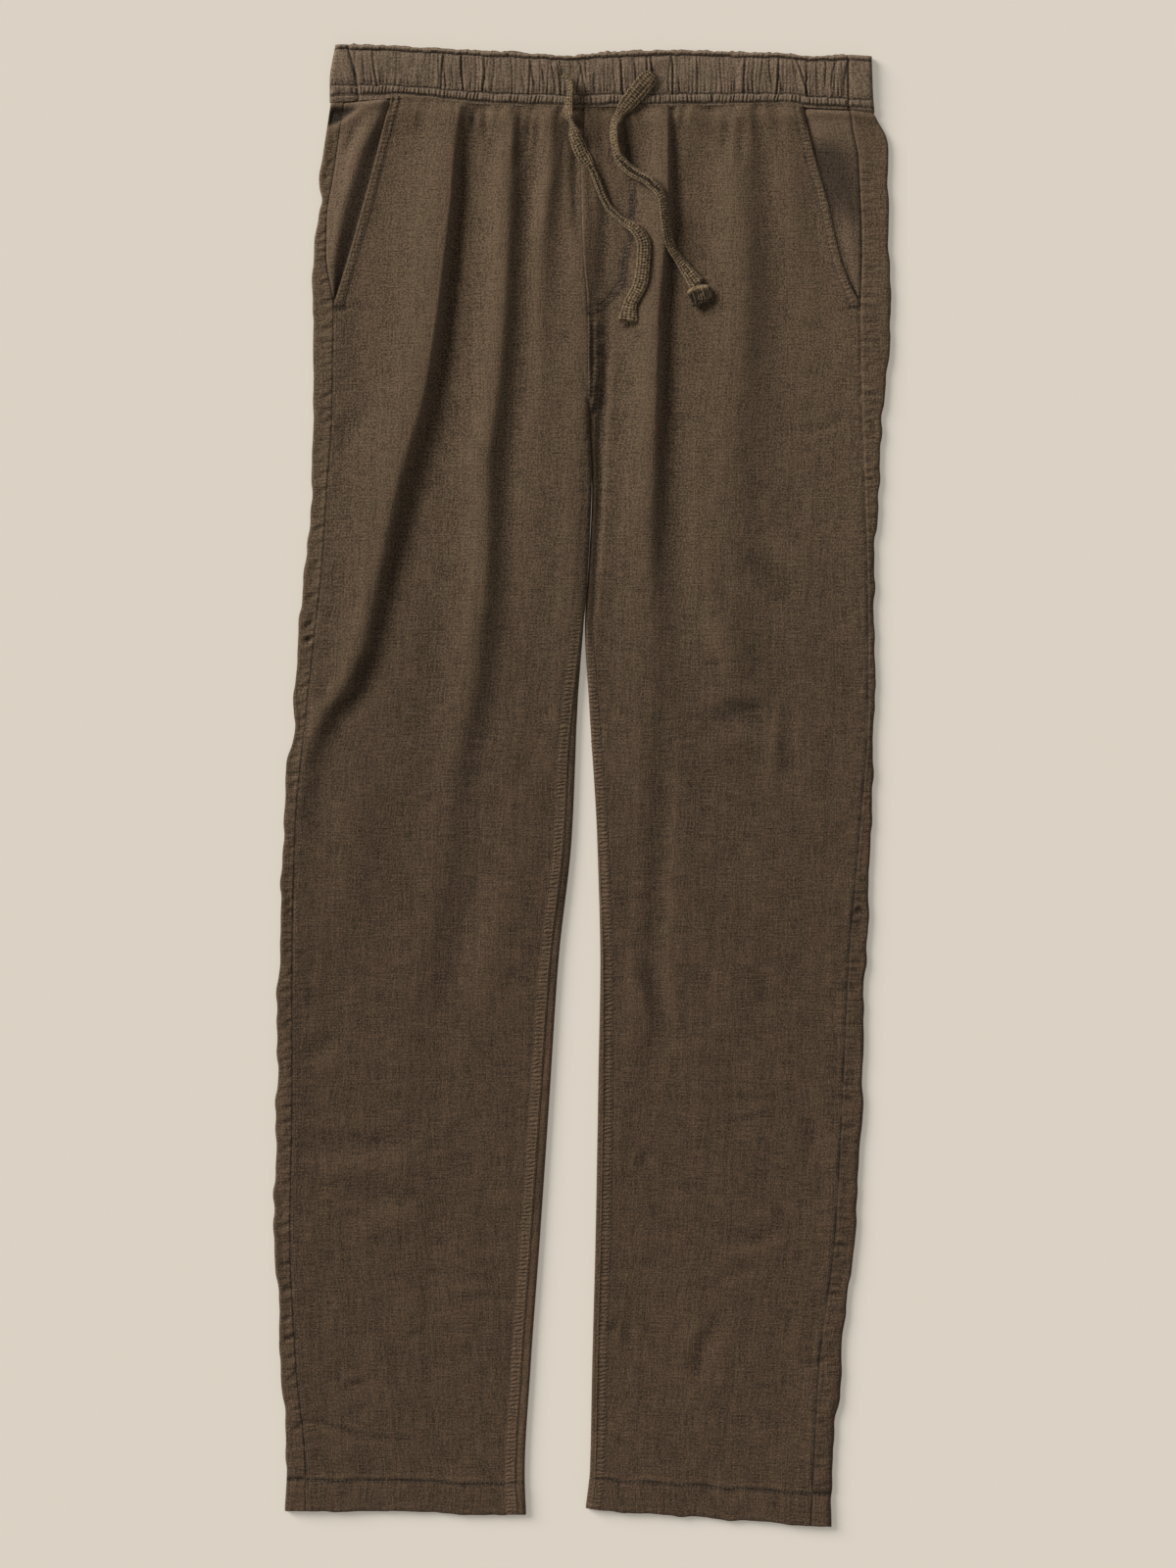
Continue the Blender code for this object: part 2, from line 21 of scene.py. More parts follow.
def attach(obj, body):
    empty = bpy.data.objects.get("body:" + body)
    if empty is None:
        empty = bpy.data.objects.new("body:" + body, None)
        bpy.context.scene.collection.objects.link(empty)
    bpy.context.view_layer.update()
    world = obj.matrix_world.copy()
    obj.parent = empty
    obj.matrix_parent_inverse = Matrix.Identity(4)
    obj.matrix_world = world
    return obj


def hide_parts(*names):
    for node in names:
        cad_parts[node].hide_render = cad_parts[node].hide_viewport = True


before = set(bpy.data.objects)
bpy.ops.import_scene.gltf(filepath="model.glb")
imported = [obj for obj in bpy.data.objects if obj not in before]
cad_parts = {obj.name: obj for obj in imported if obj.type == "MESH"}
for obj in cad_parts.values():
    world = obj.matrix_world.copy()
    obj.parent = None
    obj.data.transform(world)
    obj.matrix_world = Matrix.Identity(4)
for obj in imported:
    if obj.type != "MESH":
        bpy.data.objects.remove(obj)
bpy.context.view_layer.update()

LOG = logging.getLogger("trousers")
MM = 0.001
Array = np.ndarray
Number = np.ndarray | float
Rows = tuple[tuple[float, ...], ...]
Triple = tuple[float, float, float]
Masks = dict[str, Array]
Piece = bpy.types.Object
Socket = bpy.types.NodeSocket
Inputs = dict[str | int, object]
Value = TypeVar("Value")

LENGTH = 1050.0  # from the waist edge to the lower corner of the longer leg
SEAM_GAP = 0.3  # between two pieces that are sewn together
WAIST_GAP = 0.3  # between the waistband's lower edge and the panels
LEG_GAP = 0.6  # between the two legs where they touch
CLOTH = 1.0  # the thickness of the linen
ROLL = 2.2  # radius where a leg is folded flat
CROTCH = 267.0
CROTCH_CURVE = 24.0  # over which the centre front dips to the crotch
EDGE_CLEAR = 12.0  # from a rolled edge to the full height of a fold
FINE_CLEAR = 4.0  # from a rolled edge to the full height of a crease
UNDER_EDGE = 12.0  # the finer columns of the underside beside the inner fold
CENTRE_TUCK = 2.4  # how far the right front runs on under the left one
FIRST_ROW = 42.0
WAIST_BLEND = 70.0  # over which the rows straighten below the waistband
TUCK = 3.0  # how far a panel runs on under its neighbour
HEM_LEVEL = 1040.0
HEM_DEPTH = 22.0
HEM_ROW = HEM_LEVEL - HEM_DEPTH  # the hem's row of stitches
HEM_BLEND = 150.0
POCKET_FOOT = 186.0
FACING_FOOT = 204.0
FACING_UNDER = 20.0  # how far the facing runs on under the front
SEWN_START = CROTCH + 60  # where the inseam's two rows of stitches begin to show
SEWN_FULL = CROTCH + 190
POCKET_ROWS = (1.7, 6.6)  # the stitches along the opening, from its edge
INSEAM_ROWS = (0.9, 7.4)  # the stitches along the inseam, from the front's edge
# Hollows as deep below the cloth round them are painted fully in shade.
WEAR_AND_SHADE_DEPTH = 0.9  # a rise above the cloth round it that wears fully pale
BAND_CLOTH = 1.1
FACING_CLOTH = 0.9
FAR = 1e4  # well past any line
RUNG_PITCH = 0.29  # from one small pucker between two rows of stitches to the next, in map units
CLOTH_MAP = "cloth"
MAP_UNIT = 10  # millimetres of cloth to a unit of the map


def smooth(at: Number, knots: Sequence[float], values: Sequence[float]) -> Array:
    """Reads a curve through the knots that never goes past them.

    Args:
        at: Where to read it.
        knots: The places of the values, rising.
        values: The curve's value at each knot.

    Returns:
        The curve's values at those places.
    """
    knots = np.asarray(knots, float)
    values = np.asarray(values, float)
    at = np.clip(np.asarray(at, float), knots[0], knots[-1])
    i = np.clip(np.searchsorted(knots, at, "right") - 1, 0, len(knots) - 2)
    slopes = np.diff(values) / np.diff(knots)
    tangents = np.zeros(len(knots))
    before, after = slopes[:-1], slopes[1:]
    steady = before * after > 0
    tangents[1:-1][steady] = 2 / (1 / before[steady] + 1 / after[steady])
    tangents[0], tangents[-1] = slopes[0], slopes[-1]
    step = knots[i + 1] - knots[i]
    t = (at - knots[i]) / step
    rest = 1 - t
    return (
        values[i] * (1 + 2 * t) * rest * rest
        + values[i + 1] * (3 - 2 * t) * t * t
        + step * (tangents[i] * t * rest * rest - tangents[i + 1] * t * t * rest)
    )


def ease(at: Number, start: Number, end: Number) -> Array:
    """Runs from 0 at start to 1 at end with no corner."""
    t = np.clip((at - start) / (end - start), 0.0, 1.0)
    return t * t * (3 - 2 * t)


def fade(at: Number, start: Number, end: Number) -> Array:
    """Runs from 1 at start to 0 at end with no corner."""
    return 1 - ease(at, start, end)


def window(at: Array, start: float, full: float, last: Number, end: Number) -> Array:
    """Rises from 0 at start to 1 at full, holds to last, and is 0 again at end."""
    return ease(at, start, full) * fade(at, last, end)


def bell(away: Array, width: Number) -> Array:
    """A soft hump: 1 at the middle, and little left two widths away."""
    return np.exp(-((away / width) ** 2))


def scatter(u: Array, v: Array, seed: float) -> Array:
    """Soft random waves between -1 and 1, a unit apart, that are the same each time.

    Args:
        u: The place one way.
        v: The place the other way.
        seed: Which waves.

    Returns:
        The waves' height there.
    """
    iu, iv = np.floor(u), np.floor(v)
    fu, fv = u - iu, v - iv
    fu = fu * fu * fu * (fu * (fu * 6 - 15) + 10)
    fv = fv * fv * fv * (fv * (fv * 6 - 15) + 10)

    def corner(a: Array, b: Array) -> Array:
        """The random value of one corner of the lattice."""
        value = np.sin(a * 127.1 + b * 311.7 + seed * 74.7) * 43758.5453
        return 2 * (value - np.floor(value)) - 1

    low = corner(iu, iv) * (1 - fu) + corner(iu + 1, iv) * fu
    high = corner(iu, iv + 1) * (1 - fu) + corner(iu + 1, iv + 1) * fu
    return low * (1 - fv) + high * fv


def wander(at: Array, size: float, seed: float) -> Array:
    """Soft random waves along one line, between -1 and 1."""
    return scatter(at / size, at * 0, seed)


def squared(value: Array, power: float) -> Array:
    """A circle's sine or cosine, pushed towards a square by a power below 1."""
    return np.sign(value) * np.abs(value) ** power


def soften(values: Array, reach: float) -> Array:
    """Blurs a grid, so that what stands above its surroundings can be told from what lies below.

    Args:
        values: A grid of rows and columns.
        reach: The blur's width, in rows and in columns.

    Returns:
        The blurred grid.
    """
    size = int(3 * reach)
    kernel = bell(np.arange(-size, size + 1), reach * 1.41)
    kernel /= kernel.sum()
    padded = np.pad(values, size, mode="edge")
    across = np.apply_along_axis(np.convolve, 1, padded, kernel, mode="same")
    both = np.apply_along_axis(np.convolve, 0, across, kernel, mode="same")
    return both[size:-size, size:-size]


def cloth_map(across: Array, down: Array) -> Array:
    """Where each point lies on the flat cloth."""
    return np.stack(np.broadcast_arrays(across, down), axis=-1)


def in_space(x: Array, down: Array, z: Array) -> Array:
    """Points in metres, in the frame of the solids."""
    x, down, z = np.broadcast_arrays(x, down, z)
    return np.stack([x, LENGTH / 2 - down, z], axis=-1) * MM


class Side(Enum):
    """Which leg, as the wearer has them."""

    RIGHT = "right"
    LEFT = "left"

    @property
    def inward(self) -> int:
        """The way from the outer edge to the middle."""
        return self.pick(1, -1)

    def pick(self, right: Value, left: Value) -> Value:
        """This leg's own value, out of one for each."""
        return right if self is Side.RIGHT else left


class Form(Enum):
    """What a crease looks like across its path."""

    TROUGH = "a soft valley between two low lips"
    RIDGE = "a soft ridge"
    STEP = "a ridge on one side and a valley on the other"


@dataclass(frozen=True)
class Table:
    """Rows of sizes, each read as a smooth curve over the first column."""

    columns: tuple[str, ...]
    rows: Rows

    def read(self, name: str, at: Number) -> Array:
        """One column, at values of the first one."""
        place = self.columns.index(name)
        return smooth(at, [row[0] for row in self.rows], [row[place] for row in self.rows])

    def line(self, name: str, at: Number) -> Array:
        """One column, in straight runs."""
        place = self.columns.index(name)
        return np.interp(at, [row[0] for row in self.rows], [row[place] for row in self.rows])

    @property
    def start(self) -> float:
        """The first row's place."""
        return self.rows[0][0]

    @property
    def end(self) -> float:
        """The last row's place."""
        return self.rows[-1][0]


LEVELS = Table(
    ("down", "right_outer", "right_seam", "right_inner", "left_inner", "left_seam", "left_outer"),
    (
        (40, -177.5, -168, 2, 2, 190, 206), (60, -180.5, -171, 1, 1, 193, 214.5),
        (76, -183, -173.5, 0, 0, 196, 217), (96, -185.5, -176.5, -0.5, -0.5, 197, 217.5),
        (122, -186.5, -180.5, 0, 0, 198, 218), (150, -189.5, -181, 1, 1, 198.5, 218),
        (186, -190.5, -176, 4, 4, 197.5, 218), (265, -191, -177, 4.5, 4.5, 198.5, 213),
        (315, -191.5, -180.5, 7, 7, 200.5, 210), (370, -196.5, -184, 4.5, 4.5, 202, 207),
        (412, -200, -188.5, 1.5, 2, 202.5, 207.5), (467, -203.5, -194.5, -2.5, 5, 202.5, 207.5),
        (560, -212, -203, -6.5, 10.5, 196.5, 204), (649, -214.5, -205, -16, 12.8, 189, 201.5),
        (746, -216, -205, -22.5, 11.2, 184.5, 199.5), (842, -218, -206.5, -29, 9.5, 179.5, 192.5),
        (939, -212, -202, -36, 7, 167.5, 183.5), (1012, -209, -195.5, -40, 5.5, 163.5, 176),
        (1040, -210.5, -195.5, -39, 2.5, 162, 177),
    ),
)
POCKETS = Table(
    ("down", "right", "left"),
    (
        (38, -134, 156), (76, -144.5, 165), (114, -155, 175), (153, -166, 184), (186, -176, 197.5),
    ),
)
INSEAMS = Table(
    ("down", "right", "left"),
    (
        (267, 0, 0), (447, 7, 3), (520, 10, 4), (662, 10.5, 6), (784, 11, 7.5), (1040, 11, 7.5),
    ),
)
# How far down each hem ends, at the leg's outer edge and at its inner one.
HEM_ENDS = {Side.RIGHT: (1038.0, 1041.0), Side.LEFT: (LENGTH, 1037.0)}
BAND = Table(
    ("x", "top", "lip", "upper", "lower", "bottom"),
    (
        (-178.5, 0.4, 3.9, 29.1, 36.3, 41), (-166, 0, 3.6, 29.2, 36, 40.5),
        (-131.4, 0.9, 4.9, 29.4, 34.9, 38), (-110, 2.3, 6.1, 31.2, 36.3, 39.3),
        (-76, 4.6, 8.4, 34.5, 40.5, 42.3), (-50, 4.9, 9, 35.5, 41.8, 43.5), (-35, 6.8, 10.4, 35.9, 42.4, 44),
        (-6.6, 8.2, 11.5, 36.6, 42.9, 44.7), (18.4, 5, 9.4, 35.8, 42.4, 44.2),
        (65.5, 3.9, 7.9, 35.4, 42, 43.8), (112, 5.2, 9.2, 35.2, 41.5, 43.2), (146, 6.6, 10, 35, 40.9, 42.5),
        (161, 8.7, 11.9, 37.6, 43.2, 45), (189, 7.4, 11.2, 38.9, 44.4, 46),
        (207.5, 8.5, 12.2, 39.8, 45.5, 48.5),
    ),
)
BAND_SIDES = Table(
    ("share", "right_edge", "right_seam", "left_seam", "left_edge"),
    (
        (0, -174.5, -166, 188.5, 205.5), (0.7, -178.5, -159.5, 189, 206.5), (1, -178.5, -158, 189, 207.5),
    ),
)

# The largest folds, each along its crest: height, and the width of its two flanks.
FOLD_ROWS = (
    (
        (40, -88.5, 1.6, 16, 5), (60, -90, 5.2, 20, 4.6), (82, -91.5, 7.4, 24, 4.4),
        (110, -93.5, 8.4, 28, 4.6), (150, -98, 9.2, 32, 4.8), (202, -104.5, 9.6, 34, 5.4),
        (250, -113.5, 9.4, 34, 7.4), (300, -129, 8.8, 32, 10), (326, -135.5, 8.4, 30, 10),
        (357, -141.5, 8, 28, 10), (388, -147.5, 7.6, 26, 9.6), (424, -155.5, 7, 23, 9.4),
        (455, -169, 5.6, 18, 9.4), (475, -183, 4.4, 13, 9.6), (500, -192, 2.6, 9, 10), (545, -198, 0, 8, 10),
    ),
    (
        (40, -54, 1.4, 8, 7.5), (60, -52, 3.4, 10, 8.6), (80, -53, 5, 12, 8.4), (110, -53, 6.6, 14, 7.6),
        (150, -54.5, 7.2, 16, 8), (200, -57.5, 7.4, 18, 8.4), (250, -62.5, 7, 18, 9),
        (300, -68.5, 6.6, 18, 9), (360, -69.5, 6.2, 18, 9), (420, -75, 5, 18, 10.5), (460, -81, 4.2, 18, 11),
        (500, -90, 3.2, 18, 12), (540, -97, 2.2, 18, 13), (620, -112, 0, 18, 16),
    ),
    (
        (40, -24, 1.4, 10, 5), (80, -22.5, 3, 10, 6), (110, -26, 3.6, 10, 6.5), (150, -31, 3.4, 12, 9),
        (200, -33, 3, 14, 12), (315, -37, 2, 20, 18), (403, -44, 1.4, 22, 18), (520, -52, 0, 22, 18),
    ),
    # Along the centre front, and on down the right leg's inner edge.
    (
        (100, 2, 0, 12, 8), (150, 1, 3, 14, 9), (200, -1, 4, 16, 11), (235, -0.5, 5, 18, 13),
        (262, -1.5, 5.2, 18, 12), (300, -3, 5, 20, 11), (340, -4.5, 4.8, 20, 10), (380, -7, 4.4, 20, 10),
        (430, -10, 3.4, 18, 10), (490, -14, 1.4, 16, 10), (540, -17, 0, 16, 10),
    ),
    (
        (40, 60, 1.8, 12, 4), (72, 60.2, 5, 16, 3.5), (110, 60, 6.8, 20, 4), (150, 57, 7.6, 22, 4.6),
        (191, 53.5, 7.8, 24, 4.8), (250, 51.5, 7.6, 22, 5.6), (297, 49, 6.6, 22, 7.4), (360, 46, 4.8, 22, 10),
        (403, 45, 3.4, 22, 13), (460, 46, 2.2, 22, 17), (560, 44, 0, 22, 18),
    ),
    (
        (40, 112, 1.6, 13, 11), (80, 112, 3.4, 18, 13), (110, 112, 4.4, 20, 14), (150, 112, 5.2, 22, 14),
        (200, 111, 5.2, 24, 14), (250, 106, 4.2, 24, 17), (300, 101, 3, 24, 20), (420, 98, 1.8, 24, 20),
        (540, 92, 0, 24, 22),
    ),
    (
        (40, 142, 1.6, 8, 9), (90, 146, 2.4, 12, 12), (200, 152, 0, 16, 14),
    ),
)
FOLDS = tuple(Table(("down", "x", "height", "left", "right"), rows) for rows in FOLD_ROWS)


@dataclass(frozen=True)
class Crease:
    """A crease placed along given (down, x) points."""

    depth: float
    width: float
    path: Rows
    form: Form = Form.TROUGH

    def add_to(self, height: Array, x: Array, down: Array) -> None:
        """Presses the crease into a grid of heights.

        Args:
            height: The heights, which are changed.
            x: Places across.
            down: Each point's place down.
        """
        points = np.array(self.path, float)
        reach = 3.2 * self.width
        near = (down > points[:, 0].min() - reach) & (down < points[:, 0].max() + reach)
        near &= (x > points[:, 1].min() - reach) & (x < points[:, 1].max() + reach)
        if not near.any():
            return
        place = np.stack([down[near], x[near]], axis=-1)
        away = np.full(len(place), np.inf)
        along = np.zeros(len(place))
        side = np.zeros(len(place))
        passed = 0.0
        for start, end in zip(points[:-1], points[1:]):
            run = end - start
            length = float(np.hypot(*run))
            share = np.clip((place - start) @ run / length**2, 0, 1)
            offset = place - start - share[:, None] * run
            distance = np.hypot(offset[:, 0], offset[:, 1])
            closer = distance < away
            away[closer] = distance[closer]
            along[closer] = passed + share[closer] * length
            side[closer] = np.sign(run[0] * offset[closer, 1] - run[1] * offset[closer, 0])
            passed += length
        taper = np.sqrt(np.sin(np.pi * np.clip(along / passed, 0.02, 0.98)))
        if self.form is Form.RIDGE:
            profile = bell(away, self.width)
        elif self.form is Form.STEP:
            profile = -side * away / self.width * np.exp(0.5 - (away / self.width) ** 2) * 1.2
        else:
            profile = 0.3 * bell(away - 1.8 * self.width, 0.8 * self.width) - bell(away, self.width)
        height[near] += self.depth * taper * profile


# Depth, width, (down, x) path and form of each listed crease.
CREASES = (
    # Below the waistband.
    (0.9, 2.2, ((45, -77), (60, -77.5))), (1.2, 2.4, ((43, -68), (64, -68.5))),
    (1.8, 2.8, ((43, -42.5), (62, -44), (88, -45.5))), (1, 2, ((46, -37), (80, -40))),
    (0.9, 2, ((46, -30), (73, -32))), (1.6, 3.4, ((44, -3), (80, -4), (108, -4), (142, -1.5))),
    (1, 2.2, ((43, 71), (58, 71.5))), (0.8, 3, ((46, 104), (72, 101))),
    (0.8, 3.4, ((44, 116), (84, 112))), (0.7, 3, ((50, 24), (96, 22))),
    (0.9, 3.5, ((52, 14), (120, 17), (170, 15))), (0.6, 3, ((44, -112), (70, -116))),
    # The hollow and the folds at the right hip.
    (1.9, 4.2, ((46, -148), (51, -160), (57, -168), (63, -178)), Form.RIDGE),
    (1, 3, ((56, -156), (66, -162), (78, -167))),
    (0.8, 2.4, ((186.3, -170), (184.5, -159), (187, -143.6))),
    (0.9, 7, ((258.7, -153.6), (274, -167.5), (294.7, -172.3))),
    # Long soft valleys of the right leg.
    (1.3, 7, (
        (300, -114), (357, -129), (396, -141), (428, -147),
        (456, -158), (474, -173), (500, -185), (560, -190),
    )),
    (1.2, 14, ((585, -72), (635, -90), (700, -102))),
    (1, 16, ((500, -150), (570, -163), (620, -166)), Form.RIDGE),
    (0.35, 1.4, ((372, -88), (441, -95.7), (474, -101.5), (492, -105)), Form.RIDGE),
    (0.7, 7, ((719, -200), (710, -187), (700, -174))),
    (0.8, 8, ((778, -200), (775, -135), (760, -113))),
    (0.6, 7, ((803, -200), (810, -150), (816, -105))),
    (0.7, 9, ((799, -187), (790, -128), (786, -94)), Form.RIDGE),
    (0.6, 9, ((846, -182), (827, -113)), Form.RIDGE), (0.4, 2, ((790, -96), (786, -74))),
    (0.45, 2.2, ((869, -85), (877, -61))), (0.35, 2.4, ((871, -120), (868, -94))),
    (0.5, 2.6, ((916, -124), (908, -109))), (0.4, 3, ((886, -94), (887, -48))),
    (0.8, 2.6, ((973, -199), (980, -169), (986, -158), (988, -141), (989, -120))),
    (0.6, 3, ((952, -169), (945, -152))),
    # The left leg.
    (0.6, 3, ((274, 139), (272, 169), (260, 192))), (0.45, 2, ((441, 86), (437, 103), (437, 120))),
    (0.35, 2.2, ((476, 70), (478, 101))), (0.35, 2.2, ((470, 99), (469, 135))),
    (1.7, 10, ((360, 116), (377, 136), (394, 152))),
    (1.8, 12, ((404, 92), (430, 104), (452, 114)), Form.RIDGE),
    (1.2, 9, ((480, 92), (472, 112), (474, 132))), (0.9, 5, ((466, 147), (517, 142))),
    # The hollow beside the centre front and beside the right leg's inner edge.
    (2.3, 3.4, (
        (186, 17), (220, 16.5), (250, 15), (280, 12.5),
        (315, 11.5), (352, 9.5), (400, 6.5), (440, 4),
    )),
    (0.8, 2.2, ((190, 8), (222, 8.5), (250, 9))), (0.35, 2.4, ((243, 143), (245, 173))),
    (0.3, 2.2, ((264, 61), (266, 90))), (0.45, 2.2, ((736, 90), (733, 108))),
    (0.5, 2.4, ((744, 100), (747, 127), (745, 141))), (0.45, 2.4, ((762, 100), (758, 127), (760, 139))),
    (1.1, 8, ((482, 56), (550, 55), (640, 52), (727, 49))), (0.7, 7, ((494, 152), (521, 146))),
    (0.6, 6, ((657, 127), (677, 131))), (0.7, 6, ((638, 39), (677, 55), (706, 59))),
    (0.8, 7, ((754, 160), (790, 164))), (0.7, 4, ((785, 46), (796, 41))),
    (0.7, 4, ((903, 34), (922, 31))), (0.9, 5.5, ((899, 97), (918, 88), (945, 77))),
    (0.7, 5, ((842, 105), (846, 124), (836, 139))), (0.6, 5, ((819, 139), (836, 143))),
    (0.5, 3, ((912, 19), (904, 26))), (0.6, 5, ((868, 103), (863, 124))),
    (0.5, 4, ((811, 82), (807, 63))),
    # Strong puckers across the side strips.
    (0.9, 1.7, ((372, -193), (366, -184))), (1, 1.9, ((393, -197), (389, -186.5))),
    (1.3, 1.9, ((414, -198), (406, -188))), (1, 1.8, ((425, -199), (419, -190))),
    (0.9, 2, ((850, -216), (847, -206.5), (848, -196))),
    (0.8, 1.9, ((918, -213), (914, -203.5), (916, -198))), (0.8, 2, ((268, 198), (271, 213))),
    (1, 2.2, ((309, 200), (311, 212))), (0.8, 2, ((616, 192), (613, 197), (616, 203))),
    (0.8, 1.9, ((665, 185), (667, 191), (669, 197.5))), (0.9, 2, ((744, 180), (746, 185), (749, 198))),
    (0.8, 2, ((849, 178), (850, 185), (854, 193))), (0.8, 2, ((884, 173), (886, 188.5))),
    (0.8, 2, ((931, 158), (931, 168.5), (928, 177))), (0.7, 2, ((970, 165), (972, 180))),
)


@dataclass(frozen=True)
class Puckers:
    """Short creases that the sewing draws across a seam, uneven in pitch, length and slant."""

    seam: str
    start: float
    end: float
    pitch: float
    depth: float
    outward: float
    inward: float
    slant: float
    seed: int

    def creases(self) -> list[Crease]:
        """Lays them out along the seam.

        Returns:
            The creases.
        """
        drawn = np.random.default_rng(self.seed)
        way = -1 if self.seam.startswith("right") else 1
        made = []
        down = self.start
        while down < self.end:
            x = float(LEVELS.read(self.seam, down))
            out = self.outward * drawn.uniform(0.5, 1.1)
            back = self.inward * drawn.uniform(0.2, 1.2)
            lean = self.slant * drawn.uniform(0.3, 1.3)
            depth = self.depth * drawn.uniform(0.35, 1.1)
            width = drawn.uniform(1.2, 2.0)
            ends = ((down - lean / 2, x - way * back), (down + lean / 2, x + way * out))
            made.append(Crease(depth, width, ends))
            down += self.pitch * drawn.uniform(0.6, 1.5)
        return made


PUCKERS = (
    Puckers("right_seam", 70, 1010, 9.5, 0.75, 12.0, 4.0, 6.0, 11),
    Puckers("left_seam", 70, 1010, 10.5, 0.65, 13.0, 5.0, 3.0, 12),
)


class Relief:
    """All that rises or sinks in the upper side of the legs, whichever panel it falls on."""

    def __init__(self) -> None:
        """Gathers the listed creases and those that the seams draw."""
        self.creases = [self.deepened(Crease(*row)) for row in CREASES]
        for row in PUCKERS:
            self.creases += row.creases()

    def folds(self, x: Array, down: Array) -> Array:
        """The large folds, each with a blunt left flank and a steep right one over a hollow.

        Args:
            x: Places across.
            down: Its place down.

        Returns:
            How far each point rises.
        """
        height = np.zeros(np.broadcast(x, down).shape)
        for fold in FOLDS:
            away = x - fold.read("x", down)
            inside = (down >= fold.start) & (down <= fold.end)
            left, right = fold.read("left", down), fold.read("right", down)
            tall = fold.read("height", down) * inside
            rise = np.where(away < 0, bell(away, left), np.exp(-np.abs(away / right) ** 2.3))
            hollow = bell(away - 2.1 * right, 1.0 * right) * (away > 0)
            height += tall * (rise - 0.16 * hollow)
        return height

    def fine(self, x: Array, down: Array) -> Array:
        """Creases, and the cloth's own low waves.

        Args:
            x: Places across.
            down: Its place down.

        Returns:
            How far each point rises.
        """
        x, down = np.broadcast_arrays(x, down)
        height = 0.7 * scatter(x / 46, down / 74, 1) + 0.4 * scatter(x / 21 + 3, down / 30, 2)
        height += 0.14 * scatter(x / 9, down / 11, 3) + 0.05 * scatter(x / 4.5, down / 4.5, 4)
        lower = ease(down, 420, 760)
        height += 0.22 * lower * scatter(x / 30 + down / 90, down / 9, 5)
        for crease in self.creases:
            crease.add_to(height, x, down)
        return height

    @staticmethod
    def deepened(crease: Crease) -> Crease:
        """The same crease, deeper where the legs lie flat."""
        place = crease.path[0][0]
        more = 1.0 + 0.7 * float(ease(place, 330, 600)) - 0.6 * float(ease(place, 620, 760))
        return replace(crease, depth=crease.depth * more)


RELIEF = Relief()


